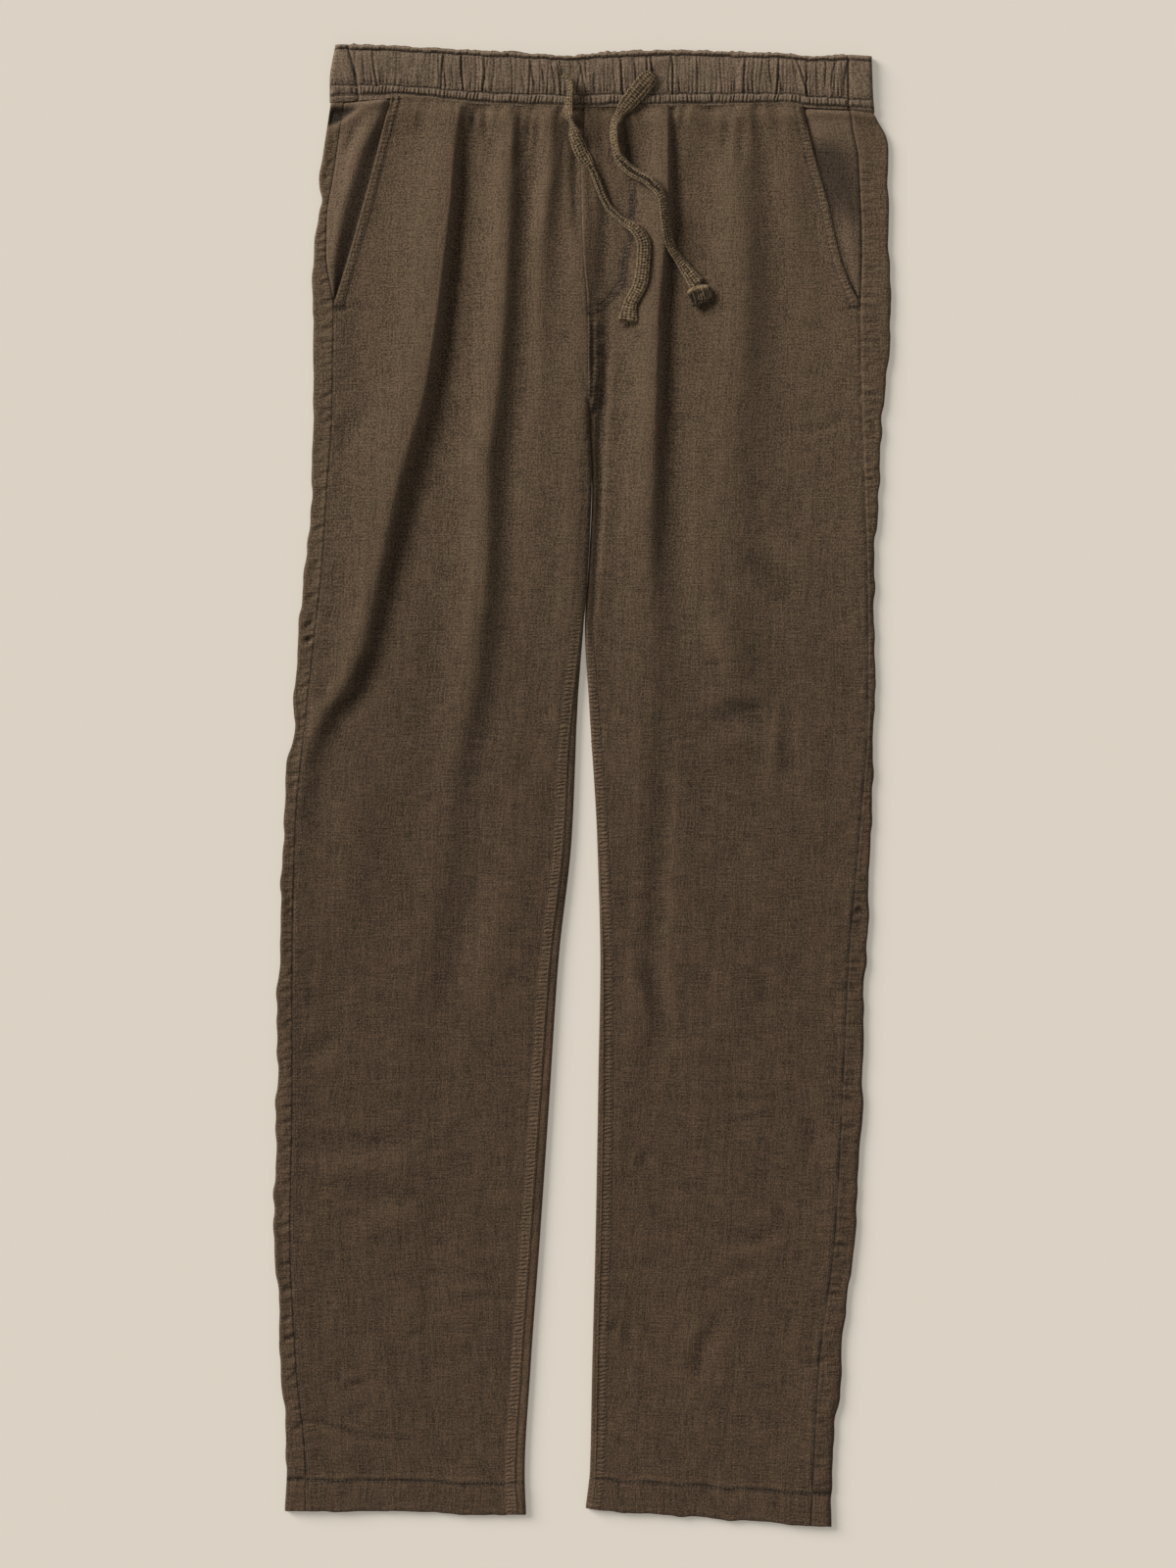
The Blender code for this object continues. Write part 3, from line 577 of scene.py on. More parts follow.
@dataclass(frozen=True)
class Leg:
    """The flattened ring of one leg, with the half of the seat above it."""

    side: Side

    def outer(self, down: Array) -> Array:
        """The outer edge's place, which waves a little where the seam beside it is drawn up.

        Args:
            down: The rows.

        Returns:
            Its place across at each row.
        """
        seed = 80 + self.side.inward
        waves = 1.5 * wander(down, 27, seed) + 0.8 * wander(down, 11, seed + 4)
        waves = waves * ease(down, 60, 200) * (1 - 0.6 * ease(down, 1015, HEM_LEVEL))
        if self.side is Side.LEFT:
            hip = 1.5 * bell(down - 62, 11.0) - 0.9 * bell(down - 98, 8.0)
        else:
            hip = 2.2 * bell(down - 110, 6.0) - 1.2 * bell(down - 137, 9.0) - 0.8 * bell(down - 92, 7.0)
        return LEVELS.read(self.side.value + "_outer", down) + waves + hip

    def rolled(self, down: Array) -> Array:
        """0 where the fronts meet flat at the centre front, 1 where the leg has an inner fold."""
        return ease(down, CROTCH - CROTCH_CURVE, CROTCH)

    def width(self, down: Array) -> Array:
        """The flat leg's width."""
        gap = (SEAM_GAP + (LEG_GAP - SEAM_GAP) * self.rolled(down)) / 2
        return np.abs(LEVELS.read(self.side.value + "_inner", down) - self.outer(down)) - gap

    def front_turn(self, down: Array) -> Array:
        """How far the front reaches round the inner fold, or stops short of it."""
        inseam = INSEAMS.read(self.side.value, down)
        below = math.pi * ROLL - inseam - SEAM_GAP / 2 * ease(down, CROTCH, CROTCH + SEAM_GAP)
        return np.where(down < CROTCH, math.pi * ROLL * self.rolled(down), below)

    def back_turn(self, down: Array) -> Array:
        """How far the back reaches up the inner fold from the underside."""
        return INSEAMS.read(self.side.value, down) - SEAM_GAP / 2

    def inner_centre(self, down: Array) -> Array:
        """From the outer edge to the middle of the inner fold's roll."""
        turned = np.minimum(math.pi * self.rolled(down), math.pi / 2)
        return self.width(down) - ROLL * np.sin(turned)

    def seam(self, down: Array) -> Array:
        """From the outer edge to the side seam."""
        return np.abs(LEVELS.read(self.side.value + "_seam", down) - self.outer(down))

    def opening(self, down: Array) -> Array:
        """From the outer edge to the front's own edge: the pocket's opening, then the side seam."""
        pocket = np.abs(POCKETS.read(self.side.value, down) - self.outer(down))
        return np.where(down < POCKET_FOOT, pocket, self.seam(down))

    def x(self, down: Array, across: Array) -> Array:
        """A place across, from one on the ring."""
        return self.outer(down) + self.side.inward * across

    def clear(self, down: Array, across: Array, reach: float) -> Array:
        """0 on the rolled edges, and 1 a little way in from them.

        Args:
            down: Each point's row.
            across: Its place from the outer edge.
            reach: How far in from the roll the share is 1.

        Returns:
            The share.
        """
        inner = self.width(down) - across
        near = ease(across, ROLL * 0.4, ROLL + reach)
        kept = self.side.pick(ease(down, 400, 520), 1.0)
        return near * (1 - kept * self.rolled(down) * fade(inner, ROLL * 0.4, ROLL + reach))

    def rise(self, down: Array, across: Array) -> Array:
        """How far the upper side stands above the plain folded leg.

        Args:
            down: Each point's row.
            across: Its place from the outer edge.

        Returns:
            How far each point rises.
        """
        centre = self.inner_centre(down)
        turned = np.clip((across - centre) / ROLL, 0, math.pi)
        across = np.where(turned > 0, centre + ROLL * np.sin(turned), across)
        x = self.x(down, across)
        large = RELIEF.folds(x, down) * self.clear(down, across, EDGE_CLEAR)
        return large + RELIEF.fine(x, down) * self.clear(down, across, FINE_CLEAR)

    def upper(self, down: Array, across: Array, rise: Array) -> tuple[Array, Array]:
        """Points of the upper layer, or past its edge round the inner fold.

        Args:
            down: Each point's row.
            across: Its place from the outer edge.
            rise: How far each point rises.

        Returns:
            Each point's place from the outer edge, and its height.
        """
        centre = self.inner_centre(down)
        turned = np.maximum(across - centre, 0) / ROLL
        upright = np.clip(np.cos(np.minimum(turned, math.pi / 2)), 0, 1)
        radius = ROLL + rise * upright
        rolling = across > centre
        place = np.where(rolling, centre + radius * np.sin(turned), across)
        return place, np.where(rolling, ROLL + radius * np.cos(turned), 2 * ROLL + rise)

    def lower(self, down: Array, reach: Array, rise: Array, hollow: Array) -> tuple[Array, Array]:
        """Points of the back: reach is 0 at the top of the outer roll, and more towards the inseam.

        Args:
            down: Each point's row.
            reach: Its place round the leg.
            rise: How far the upper side stands up there.
            hollow: How far the underside is drawn up there.

        Returns:
            Its place from the outer edge, and its height.
        """
        half_turn = math.pi * ROLL
        top_place, top_z = self.upper(down, ROLL - reach, rise)
        turned = np.clip(reach, 0, half_turn) / ROLL
        radius = ROLL + rise * np.clip(np.cos(turned), 0, 1) ** 2
        place = np.where(reach < 0, top_place, ROLL - radius * np.sin(turned))
        z = np.where(reach < 0, top_z, ROLL + radius * np.cos(turned))
        centre = self.inner_centre(down)
        across = ROLL + reach - half_turn
        flat = (reach >= half_turn) & (across <= centre)
        edge = window(across, ROLL, ROLL + 8, centre - 8, centre)
        place = np.where(flat, across, place)
        z = np.where(flat, hollow * edge, z)
        turned = np.maximum(across - centre, 0) / ROLL
        rolling = (reach >= half_turn) & (across > centre)
        raised = ROLL + rise * np.clip(-np.cos(np.minimum(turned, math.pi)), 0, 1)
        place = np.where(rolling, centre + raised * np.sin(np.minimum(turned, math.pi)), place)
        z = np.where(rolling, ROLL - raised * np.cos(np.minimum(turned, math.pi)), z)
        past = rolling & (turned > math.pi)
        place = np.where(past, centre - (turned - math.pi) * ROLL, place)
        return place, np.where(past, 2 * ROLL + rise, z)

    def hem_drop(self, share: Array) -> Array:
        """How far the slanting hem lies below its level, at a share of the leg's width."""
        outer, inner = HEM_ENDS[self.side]
        return outer + (inner - outer) * share - HEM_LEVEL

    def place(self, down: Array, across: Array, z: Array) -> Array:
        """Points in space: the top row follows the waistband, and the lowest one the hem.

        Args:
            down: Each point's row.
            across: Its place from the outer edge.
            z: Its height.

        Returns:
            The points, in metres.
        """
        x = self.x(down, across)
        top = BAND.read("bottom", x) + WAIST_GAP - FIRST_ROW
        share = np.clip(across / self.width(down), 0, 1)
        hem = self.hem_drop(share) + 0.9 * wander(x, 17, 6) + 0.4 * wander(x, 7, 7)
        drop = top * fade(down, FIRST_ROW, FIRST_ROW + WAIST_BLEND)
        drop = drop + hem * ease(down, HEM_LEVEL - HEM_BLEND, HEM_LEVEL)
        return in_space(x, down + drop, z)


def leg_rows(count: int) -> Array:
    """The rows of a leg panel, closer together at the waist and at the hem."""
    waist = np.linspace(FIRST_ROW, 60, 12)
    hem = np.linspace(1013.5, HEM_LEVEL, 20)
    return np.concatenate([waist, np.linspace(62, 1012, count), hem])


def columns(start: Array, end: Array, count: int, bunching: float) -> Array:
    """Places across each row, bunched towards both ends."""
    t = np.linspace(0, 1, count)
    share = t - bunching * np.sin(2 * math.pi * t) / (2 * math.pi)
    return start + (end - start) * share


def gathered_columns(start: Array, end: Array, count: int, down: Array, leg: Leg) -> Array:
    """Places across each row, closer together at the sewn edges and on the steep side of the folds.

    Args:
        start: Each row's first place.
        end: Each row's last place.
        count: How many places a row has.
        down: The rows.
        leg: The leg that they lie on.

    Returns:
        The places, as rows and columns.
    """
    fine = start + (end - start) * np.linspace(0, 1, 500)
    x = leg.x(down, fine)
    need = 1 + 2.2 * bell(fine - start, 7) + 2.2 * bell(end - fine, 8)
    for fold in FOLDS:
        inside = (down >= fold.start) & (down <= fold.end)
        right = fold.read("right", down)
        steep = np.clip(fold.read("height", down) / right, 0, 2) * inside
        need = need + 1.6 * steep * bell(x - fold.read("x", down) - right * 0.8, 1.2 * right)
    total = np.cumsum(need, axis=1)
    total = (total - total[:, :1]) / (total[:, -1:] - total[:, :1])
    share = np.linspace(0, 1, count)
    return np.stack([np.interp(share, row, places) for row, places in zip(total, fine)])


@dataclass(frozen=True)
class Seam:
    """A line along a panel: a groove, or a row of stitches, at (down, x) points."""

    path: Rows

    def line(self, down: Array) -> Array:
        """The line's place across, held on past its ends."""
        return smooth(down, [point[0] for point in self.path], [point[1] for point in self.path])

    def place(self, down: Array) -> Array:
        """The line's place across at each row, or far away past its ends."""
        inside = (down >= self.path[0][0]) & (down <= self.path[-1][0])
        return np.where(inside, self.line(down), FAR)

    def away(self, x: Array, down: Array) -> Array:
        """How far each point lies from the line, measured square to it."""
        lean = 0.5 * (self.line(down + 1.0) - self.line(down - 1.0))
        return (x - self.place(down)) * (1.0 / np.hypot(1.0, lean))


FLY = Seam(
    (
        (45, 32.9), (80, 35.7), (108, 37.1), (135, 35.7), (153, 32.2),
        (170, 29.5), (178, 23.9), (187, 15.6), (191.5, 4.5),
    )
)
FLY_INSIDE = Seam(
    (
        (45, 29.8), (80, 32.6), (108, 34.0), (135, 32.6), (151, 29.4),
        (166, 26.8), (174, 21.5), (182.5, 13.8), (186.5, 4.5),
    )
)
FLY_MIDDLE = Seam(tuple((down, x - 1.6) for down, x in FLY.path))
FELL = (
    Seam(((196, 4.2), (229, 3.9), (257, 5.0))),
    Seam(((196, 12.1), (223, 12.1), (252, 10.1), (262, 8.7))),
    Seam(((200, 7.3), (229, 7.3), (252, 6.9))),
)
FELL_MIDDLE = Seam(((194, 8.2), (262, 7.6)))


def mark_cloth(mesh: bpy.types.Mesh, flat: Array, masks: Masks, order: Array | slice = slice(None)) -> None:
    """Tells a mesh where its points lie on the flat cloth, and what its material reads there.

    Args:
        mesh: The mesh.
        flat: Where each point lies on the flat cloth, in millimetres.
        masks: Values over the cloth, by name.
        order: The point of the grid that each point of the mesh stands for.
    """
    layer = mesh.uv_layers.active or mesh.uv_layers.new(name=CLOTH_MAP)
    layer.name = CLOTH_MAP
    corners = np.empty(len(mesh.loops), np.int32)
    mesh.loops.foreach_get("vertex_index", corners)
    places = flat.reshape(-1, 2)[order][corners] / MAP_UNIT
    layer.data.foreach_set("uv", places.astype(np.float32).ravel())
    for label, values in masks.items():
        mask = mesh.attributes.new(label, "FLOAT", "POINT")
        mask.data.foreach_set("value", values.reshape(-1)[order].astype(np.float32))


def cloth_masks(like: Array, wear: Array, shade: Array, ladder: Number = 0.0, pull: Number = 0.0) -> Masks:
    """The values that the linen's material reads, each over a whole grid.

    Args:
        like: Any array of the grid's shape.
        wear: How pale or dark the cloth is painted, about -1 to 1: rubbed pale on high places, with painted
            highlights and painted shade.
        shade: How dark it lies, 0 to 1.
        ladder: How far two rows of stitches pucker it between them, 0 to 1.
        pull: Above 0 where sewing draws it up across a seam, below 0 along one.

    Returns:
        The values by name.
    """
    values = {"wear": wear, "shade": np.clip(shade, 0, 1), "ladder": ladder, "pull": pull}
    return {name: value + np.zeros(like.shape) for name, value in values.items()}


def add_to_scene(name: str, data: bpy.types.ID) -> Piece:
    """Adds an object that holds the data."""
    added = bpy.data.objects.new(name, data)
    bpy.context.scene.collection.objects.link(added)
    return added


def closed_piece(name: str, mesh: bpy.types.Mesh) -> Piece:
    """Turns a mesh's faces outwards and adds it to the scene as a smooth piece.

    Args:
        name: The piece's name.
        mesh: Its mesh, whose ends are closed.

    Returns:
        The finished piece.
    """
    shell = bmesh.new()
    shell.from_mesh(mesh)
    bmesh.ops.recalc_face_normals(shell, faces=shell.faces[:])
    shell.to_mesh(mesh)
    shell.free()
    mesh.shade_smooth()
    return add_to_scene(name, mesh)


def cloth_from_grid(name: str, points: Array, flat: Array, masks: Masks, wall: float, flip: bool) -> Piece:
    """Shapes a grid into a thin closed shell of cloth.

    Args:
        name: The piece's name.
        points: Rows and columns of points of the outer side, in metres.
        flat: Where each point lies on the flat cloth, across and down.
        masks: Values from -1 to 1 over the cloth, by name, which its material reads.
        wall: The cloth's thickness.
        flip: Whether the grid's faces look inwards as it is laid, and are turned over.

    Returns:
        The finished piece.
    """
    rows, wide = points.shape[:2]
    bpy.ops.object.select_all(action="DESELECT")
    bpy.ops.mesh.primitive_grid_add(x_subdivisions=wide - 1, y_subdivisions=rows - 1, size=1)
    piece = bpy.context.object
    piece.name = piece.data.name = name
    mesh = piece.data
    start = np.empty(len(mesh.vertices) * 3)
    mesh.vertices.foreach_get("co", start)
    start = start.reshape(-1, 3) + 0.5
    row = np.rint(start[:, 1] * (rows - 1)).astype(int)
    order = row * wide + np.rint(start[:, 0] * (wide - 1)).astype(int)
    mesh.vertices.foreach_set("co", points.reshape(-1, 3)[order].astype(np.float32).ravel())
    mark_cloth(mesh, flat, masks, order)
    mesh.update()
    if flip:
        mesh.flip_normals()
    solid = piece.modifiers.new("thickness", "SOLIDIFY")
    solid.thickness = wall * MM
    solid.offset = -1
    bpy.ops.object.modifier_apply(modifier=solid.name)
    bpy.ops.object.shade_smooth_by_angle(angle=math.radians(60))
    return piece


def wear_and_hollow_shade(height: Array, reach: float = 3.0) -> Array:
    """Paleness where high places rub, and painted shade in the hollows, from -1 to 1."""
    return np.clip((height - soften(height, reach)) / WEAR_AND_SHADE_DEPTH, -1, 1)


@dataclass(frozen=True)
class LegCloth:
    """The three cloth pieces of one leg: the front, the back and the pocket facing."""

    side: Side
    front_columns: int = 110
    front_rows: int = 384
    back_rows: int = 830
    facing_columns: int = 34
    facing_rows: int = 84
    strip_columns: int = 11
    roll_columns: int = 8
    flat_columns: int = 10

    @property
    def leg(self) -> Leg:
        """The ring that the pieces lie on."""
        return Leg(self.side)

    def hem_form(self, down: Array) -> Array:
        """The turned-up hem: thicker below its row of stitches, which sinks in."""
        below = down - HEM_ROW
        thick = 0.55 * ease(below, -0.5, 1.5) - 0.45 * bell(below, 1.1) + 0.4 * bell(below + 2.6, 1.4)
        return thick - 0.9 * ease(down, HEM_LEVEL - 1.6, HEM_LEVEL + 0.4)

    def gathers(self, down: Array, share: Array) -> Array:
        """Small gathers that run out below the waistband.

        Args:
            down: Each point's row.
            share: Its share of the way across.

        Returns:
            How far each point rises.
        """
        fall = np.maximum(down - FIRST_ROW, 0)
        big = scatter(share * 22, fall / 60, 21 + self.leg.side.inward)
        small = scatter(share * 47, fall / 25, 22)
        rise = 1.3 * big * np.exp(-fall / 30) + 0.9 * small * np.exp(-fall / 9)
        return rise + 1.5 * bell(fall - 8, 8) - 0.8 * bell(fall, 2.0)

    def uneven(self, down: Array) -> Array:
        """How strongly the side seam and the opening's edge are drawn in, from row to row."""
        return 0.75 + 0.4 * wander(down, 9, 31)

    def from_inseam(self, down: Array, across: Array) -> Array:
        """How far each point of the front lies from its sewn edge at the inseam."""
        return self.leg.inner_centre(down) + self.leg.front_turn(down) - across

    def front_edges(self, down: Array, across: Array, x: Array) -> tuple[Array, Array]:
        """The sewn edges of the front.

        Args:
            down: Each point's row.
            across: Its place from the outer edge.
            x: Its place across the trousers.

        Returns:
            How far each point rises, and how much of a seam's shade falls on it.
        """
        leg = self.leg
        edge = across - leg.opening(down)
        uneven = self.uneven(down)
        rise = uneven * (-0.35 * bell(edge, 0.6) + 0.3 * bell(edge - 2.6, 1.6))
        line = 0.2 + self.side.pick(0.0, 0.55) * ease(down, 230, 480)
        shade = line * uneven * bell(edge, 0.7)
        pocket = fade(down, POCKET_FOOT - 4, POCKET_FOOT)
        row = bell(edge - POCKET_ROWS[1], 0.8)
        rise += pocket * (0.6 * fade(edge, 5.6, 7.0) - 0.35 * row + 0.25 * bell(edge - 0.9, 0.6))
        shade += pocket * self.side.pick(0.16, 0.28) * row
        rise += (1 - pocket) * -0.25 * bell(edge - 2.2, 0.8)
        foot = bell(down - POCKET_FOOT, 1.4) * fade(edge, 9.0, 10.5)
        rise -= 0.5 * foot
        shade += 0.6 * foot
        centre = leg.width(down) - across
        flat = 1 - leg.rolled(down)
        doubled = fade(centre, 0.0, 14.0)
        if self.side is Side.LEFT:
            rise += flat * (0.8 * doubled + 0.35 * bell(centre - 1.0, 1.0) - 0.3 * bell(centre, 0.4))
            drawn = scatter(down / 2.6, x / 6.0, 37)
            strength = 1.0 + 1.7 * ease(down, 115, 172)
            for seam in (FLY, FELL[1]):
                near = bell(seam.away(x + 1.6, down), 4.0)
                rise = rise + 0.45 * strength * drawn * near
                shade = shade + 0.34 * strength * np.maximum(drawn, 0) * near
            for seam in (*FELL, FLY, FLY_INSIDE):
                groove = bell(seam.away(x, down), 0.8)
                rise = rise - 0.6 * groove
                shade = shade + 0.55 * (0.8 + 0.5 * scatter(down / 3.1, x / 3.1, 36)) * groove
        else:
            rise = rise - flat * (0.5 * doubled + 0.9 * ease(-centre, 0.0, 0.8))
            shade = shade + flat * 0.08 * bell(centre, 2.0)
        end = self.from_inseam(down, across)
        sewn = ease(down, SEWN_START, SEWN_FULL)
        row = end - INSEAM_ROWS[1]
        rise = rise + sewn * (0.35 * fade(end, 6.4, 7.8) - 0.2 * bell(row, 0.8) + 0.25 * bell(end - 0.8, 0.6))
        shade = shade + sewn * 0.08 * bell(row, 0.7)
        drawn = 0.4 * scatter(x / 4.4, down / 14, 33) + 0.2 * scatter(x / 9, down / 20, 34)
        rise = rise + bell(down - HEM_ROW, 6.0) * drawn
        shade = shade + (0.6 + 0.3 * wander(x, 5, 35)) * bell(down - HEM_ROW, 1.0)
        return rise, shade

    def hip_hollow(self, x: Array, down: Array) -> Array:
        """The hollow under the waistband at the wearer's right hip, above the fold that bounds it.

        Args:
            x: Places across.
            down: Its row.

        Returns:
            Its depth, 0 to 1.
        """
        if self.side is Side.LEFT:
            return 0 * x * down
        places = (-182.0, -172.0, -165.0, -158.0, -148.0, -138.0)
        arc = np.interp(x, places, (61.0, 57.5, 53.0, 48.5, 45.0, 41.0))
        return ease(arc - down, 0.0, 4.0) * window(down, 44.0, 48.5, 62, 66)

    def pull(self, down: Array, across: Array) -> Array:
        """Where the sewing draws the cloth up: above 0 across a seam, below 0 along one.

        Args:
            down: Each point's row.
            across: Its place from the outer edge.

        Returns:
            The pull, -1 to 1.
        """
        leg = self.leg
        seam = across - leg.seam(down)
        beside = ease(down, 60, 90) * np.where(seam > 0, bell(seam, 11.0), 1.4 * bell(seam, 18.0))
        opening = (down < POCKET_FOOT) * 0.6 * bell(across - leg.opening(down) - 3, 6.0)
        hem = ease(down, HEM_ROW - 9, HEM_ROW)
        return np.clip(np.maximum(0.6 * beside, opening) * (1 - hem) - 0.2 * hem + 0 * across, -1, 1)

    def front(self) -> Piece:
        """The front, which turns down round the leg's inner fold.

        Returns:
            The finished piece.
        """
        leg = self.leg
        tucked = np.linspace(FIRST_ROW - 2.3, FIRST_ROW - 0.5, 4)
        down = np.concatenate([tucked, leg_rows(self.front_rows)])[:, None]
        start = leg.opening(down)
        end = leg.inner_centre(down) + leg.front_turn(down)
        end = end + 0.25 * (down > CROTCH + 1)
        if self.side is Side.RIGHT:
            end = end + CENTRE_TUCK * (1 - leg.rolled(down))
        across = gathered_columns(start, end, self.front_columns, down, leg)
        share = np.broadcast_to(np.linspace(0, 1, self.front_columns), across.shape)
        x = leg.x(down, across)
        edges, shade = self.front_edges(down, across, x)
        gathers = self.gathers(down, share) * ease(np.minimum(share, 1 - share), 0, 0.04)
        rise = leg.rise(down, across) + gathers + edges + self.hem_form(down)
        place, z = leg.upper(down, across, rise)
        z = z + 1.2 * fade(down, FIRST_ROW - 1.5, FIRST_ROW + 4.0)
        z = np.where(down < FIRST_ROW + 0.1, np.clip(z, 5.0, 6.0), z) - bell(down - tucked[0], 0.5)
        points = leg.place(down, place, z)
        flat = cloth_map(across, down)
        ladder = self.ladder(down, across, x)
        sewn = ease(down, SEWN_START, SEWN_FULL) * self.side.pick(0.8, 1.1)
        hem_ridge = 0.5 * bell(down - HEM_ROW + 2.6, 1.6)
        # Painted highlights on the ladder between the inseam's rows, along the sewn inseam strip and on the
        # ridge above the hem.
        lit = 0.3 * ladder + sewn * fade(end - across, 6.0, 9.0) + hem_ridge
        # On the right leg, painted light on the lower inner roll, which turns away from the light.
        if self.side is Side.RIGHT:
            lit = lit + 0.8 * ease(down, 600, 780) * fade(end - across, 7.5, 9.0)
        wear = np.clip(wear_and_hollow_shade(rise) + lit, -1.0, 1.7)
        masks = cloth_masks(rise, wear, shade, ladder, self.pull(down, across))
        flip = self.side is Side.RIGHT
        return cloth_from_grid(self.side.value + "_front_cloth", points, flat, masks, CLOTH, flip)

    def ladder(self, down: Array, across: Array, x: Array) -> Array:
        """Where two rows of stitches pucker the cloth between them like a ladder.

        Args:
            down: Each point's row.
            across: Its place from the outer edge.
            x: Its place across the trousers.

        Returns:
            The puckering, 0 to 1.
        """
        end = self.from_inseam(down, across)
        mask = ease(down, CROTCH + 90, CROTCH + 200) * window(end, 0.4, 1.4, 6.6, 8.2)
        mask += (down < POCKET_FOOT) * 0.5 * window(across - self.leg.opening(down), 0.5, 2, 5.5, 8)
        if self.side is Side.LEFT:
            mask += 0.9 * bell(x - FLY_MIDDLE.place(down), 2.2)
            mask += 0.8 * bell(x - FELL_MIDDLE.place(down), 3.6)
        return np.clip(mask, 0, 1)

    def back(self) -> Piece:
        """The back, over the outer fold from the side seam, flat below and up to the inseam.

        Returns:
            The finished piece.
        """
        leg = self.leg
        down = leg_rows(self.back_rows)[:, None]
        half_turn = math.pi * ROLL
        strip = leg.seam(down) - SEAM_GAP / 2 - ROLL
        end = leg.inner_centre(down) - ROLL + half_turn + leg.back_turn(down)
        zero = np.zeros_like(down)
        parts = [
            np.linspace(-strip - TUCK, -strip - 0.5, 3)[..., 0].T,
            -strip * (1 - np.linspace(0, 1, self.strip_columns) ** 1.5),
            np.linspace(zero, zero + half_turn, self.roll_columns + 1)[1:, :, 0].T,
            np.linspace(zero + half_turn, end - UNDER_EDGE, self.flat_columns + 1)[1:, :, 0].T,
            np.linspace(end - UNDER_EDGE, end, 9)[1:, :, 0].T,
            np.linspace(end + 0.3, end + 1.6, 2)[..., 0].T,
        ]
        reach = np.concatenate(parts, axis=1)
        centre = leg.inner_centre(down)
        inner = ROLL + reach - half_turn
        past = np.maximum((inner - centre) / ROLL - math.pi, 0)
        across = np.where(reach < 0, ROLL - reach, ROLL * (1 - np.sin(np.clip(reach / ROLL, 0, math.pi / 2))))
        across = np.where(inner > centre, centre + math.pi * ROLL - (inner - centre), across)
        rise = leg.rise(down, across) + self.hem_form(down)
        edge = strip + reach
        on_top = reach < 0
        notch = bell(down - HEM_ROW + 1.2, 1.5) * (reach < ROLL) * ease(edge, 0.3, 1.2)
        rise = rise - 0.7 * notch
        rise = rise - 1.2 * fade(edge, -0.6, 0.1) - 0.2 * bell(edge, 0.6)
        rise = rise + self.side.pick(0.0, 0.3) * bell(edge - 1.3, 1.0) * on_top
        rise = rise - 1.2 * ease(reach - end, 0.0, 0.3) * (past > 0)
        lower = ease(down, 230, 480)
        line = self.side.pick(0.22, 0.1 + 0.65 * lower)
        shade = line * self.uneven(down) * bell(edge, 0.8) * on_top
        hip = self.hip_hollow(leg.x(down, across), down) * (reach < 2.0)
        rise = rise + 1.6 * bell(down - 45.0, 2.6) * (reach < ROLL)
        rise = np.where(hip > 0.01, np.maximum(rise - 2.3 * hip, -2.2), rise)
        shade = shade + 0.9 * hip + 0.6 * notch
        x = leg.x(down, np.where(reach >= half_turn, inner, across))
        hollow = np.clip(0.15 - 1.1 * RELIEF.fine(-x * 0.93, down + 24), 0, 1.2)
        hollow = hollow + 0.5 * bell(down - HEM_ROW, 1.1)
        place, z = leg.lower(down, reach, rise, hollow)
        flat = cloth_map(reach + 400 * leg.side.inward, down)
        high = np.where(reach < half_turn, rise, -hollow)
        # Painted highlights on the side strip over the outer fold and on its seam ridge.
        lit = 0.22 * on_top + self.side.pick(0.25, 1.5 * (1 - lower) + 0.4) * bell(edge - 1.3, 0.9)
        # On the right leg, painted light on the lower inner roll, which turns away from the light.
        if self.side is Side.RIGHT:
            lit = lit + 1.1 * ease(down, 620, 760) * ease(inner - centre, -1.0, 1.0)
        wear = np.clip(wear_and_hollow_shade(high) + lit, -1.0, 1.4)
        masks = cloth_masks(reach, wear, shade, pull=self.pull(down, across))
        points, flip = leg.place(down, place, z), self.side is Side.LEFT
        return cloth_from_grid(self.side.value + "_back_cloth", points, flat, masks, CLOTH, flip)

    def facing(self) -> Piece:
        """The pocket facing, from the side seam down under the slanted opening.

        Returns:
            The finished piece.
        """
        leg = self.leg
        tucked = np.linspace(FIRST_ROW - TUCK, FIRST_ROW - 0.6, 4)
        down = np.concatenate([tucked, np.linspace(FIRST_ROW, FACING_FOOT, self.facing_rows)])[:, None]
        seam = leg.seam(down) + SEAM_GAP / 2
        opening = leg.opening(down)
        across = columns(seam, opening + FACING_UNDER, self.facing_columns, 0.2)
        t = (across - seam) / np.maximum(opening - seam, 0.5)
        top = np.interp(down, (44.0, 60.0, 90.0, 130.0, 186.0), (0.8, 0.7, 0.58, 0.46, 0.4))
        crest = self.side.pick(2.8, 0.8) * np.where(t < top, bell(t - top, 0.42), bell(t - top, 0.3))
        start = top - 0.1 + (1.0 - top) * fade(down, 44, 84)
        sink = np.clip(ease(t, start, 1.0) + (down >= POCKET_FOOT - 6) * 1.0, 0, 1)
        plain = leg.rise(down, across)
        rise = plain - 0.35 * bell(across - seam, 0.6)
        rise = rise + self.side.pick(0.25, -0.2) * bell(across - seam - 1.2, 0.9)
        rise = rise + crest * fade(down, 140, 185)
        hollow = self.hip_hollow(leg.x(down, across), down)
        rise = np.maximum(rise - 2.3 * hollow, -2.3) + 1.5 * bell(down - 45.5, 2.6)
        near_front = fade(down, *self.side.pick((50, 76), (POCKET_FOOT - 20, POCKET_FOOT - 4)))
        sunk = 2.35 + (1.3 + 0.95 * np.maximum(plain, 0)) * near_front
        z = (2 * ROLL + rise) * (1 - sink) + sunk * sink
        under = ease(FIRST_ROW + 1.0 - down, 0.0, 1.5)
        z = np.minimum(z, z * (1 - under) + 3.1 * under)
        # Painted light on the facing's top, where it rises below the waistband.
        painted_light = 1.2 * fade(down, 50, 66)
        if self.side is Side.RIGHT:
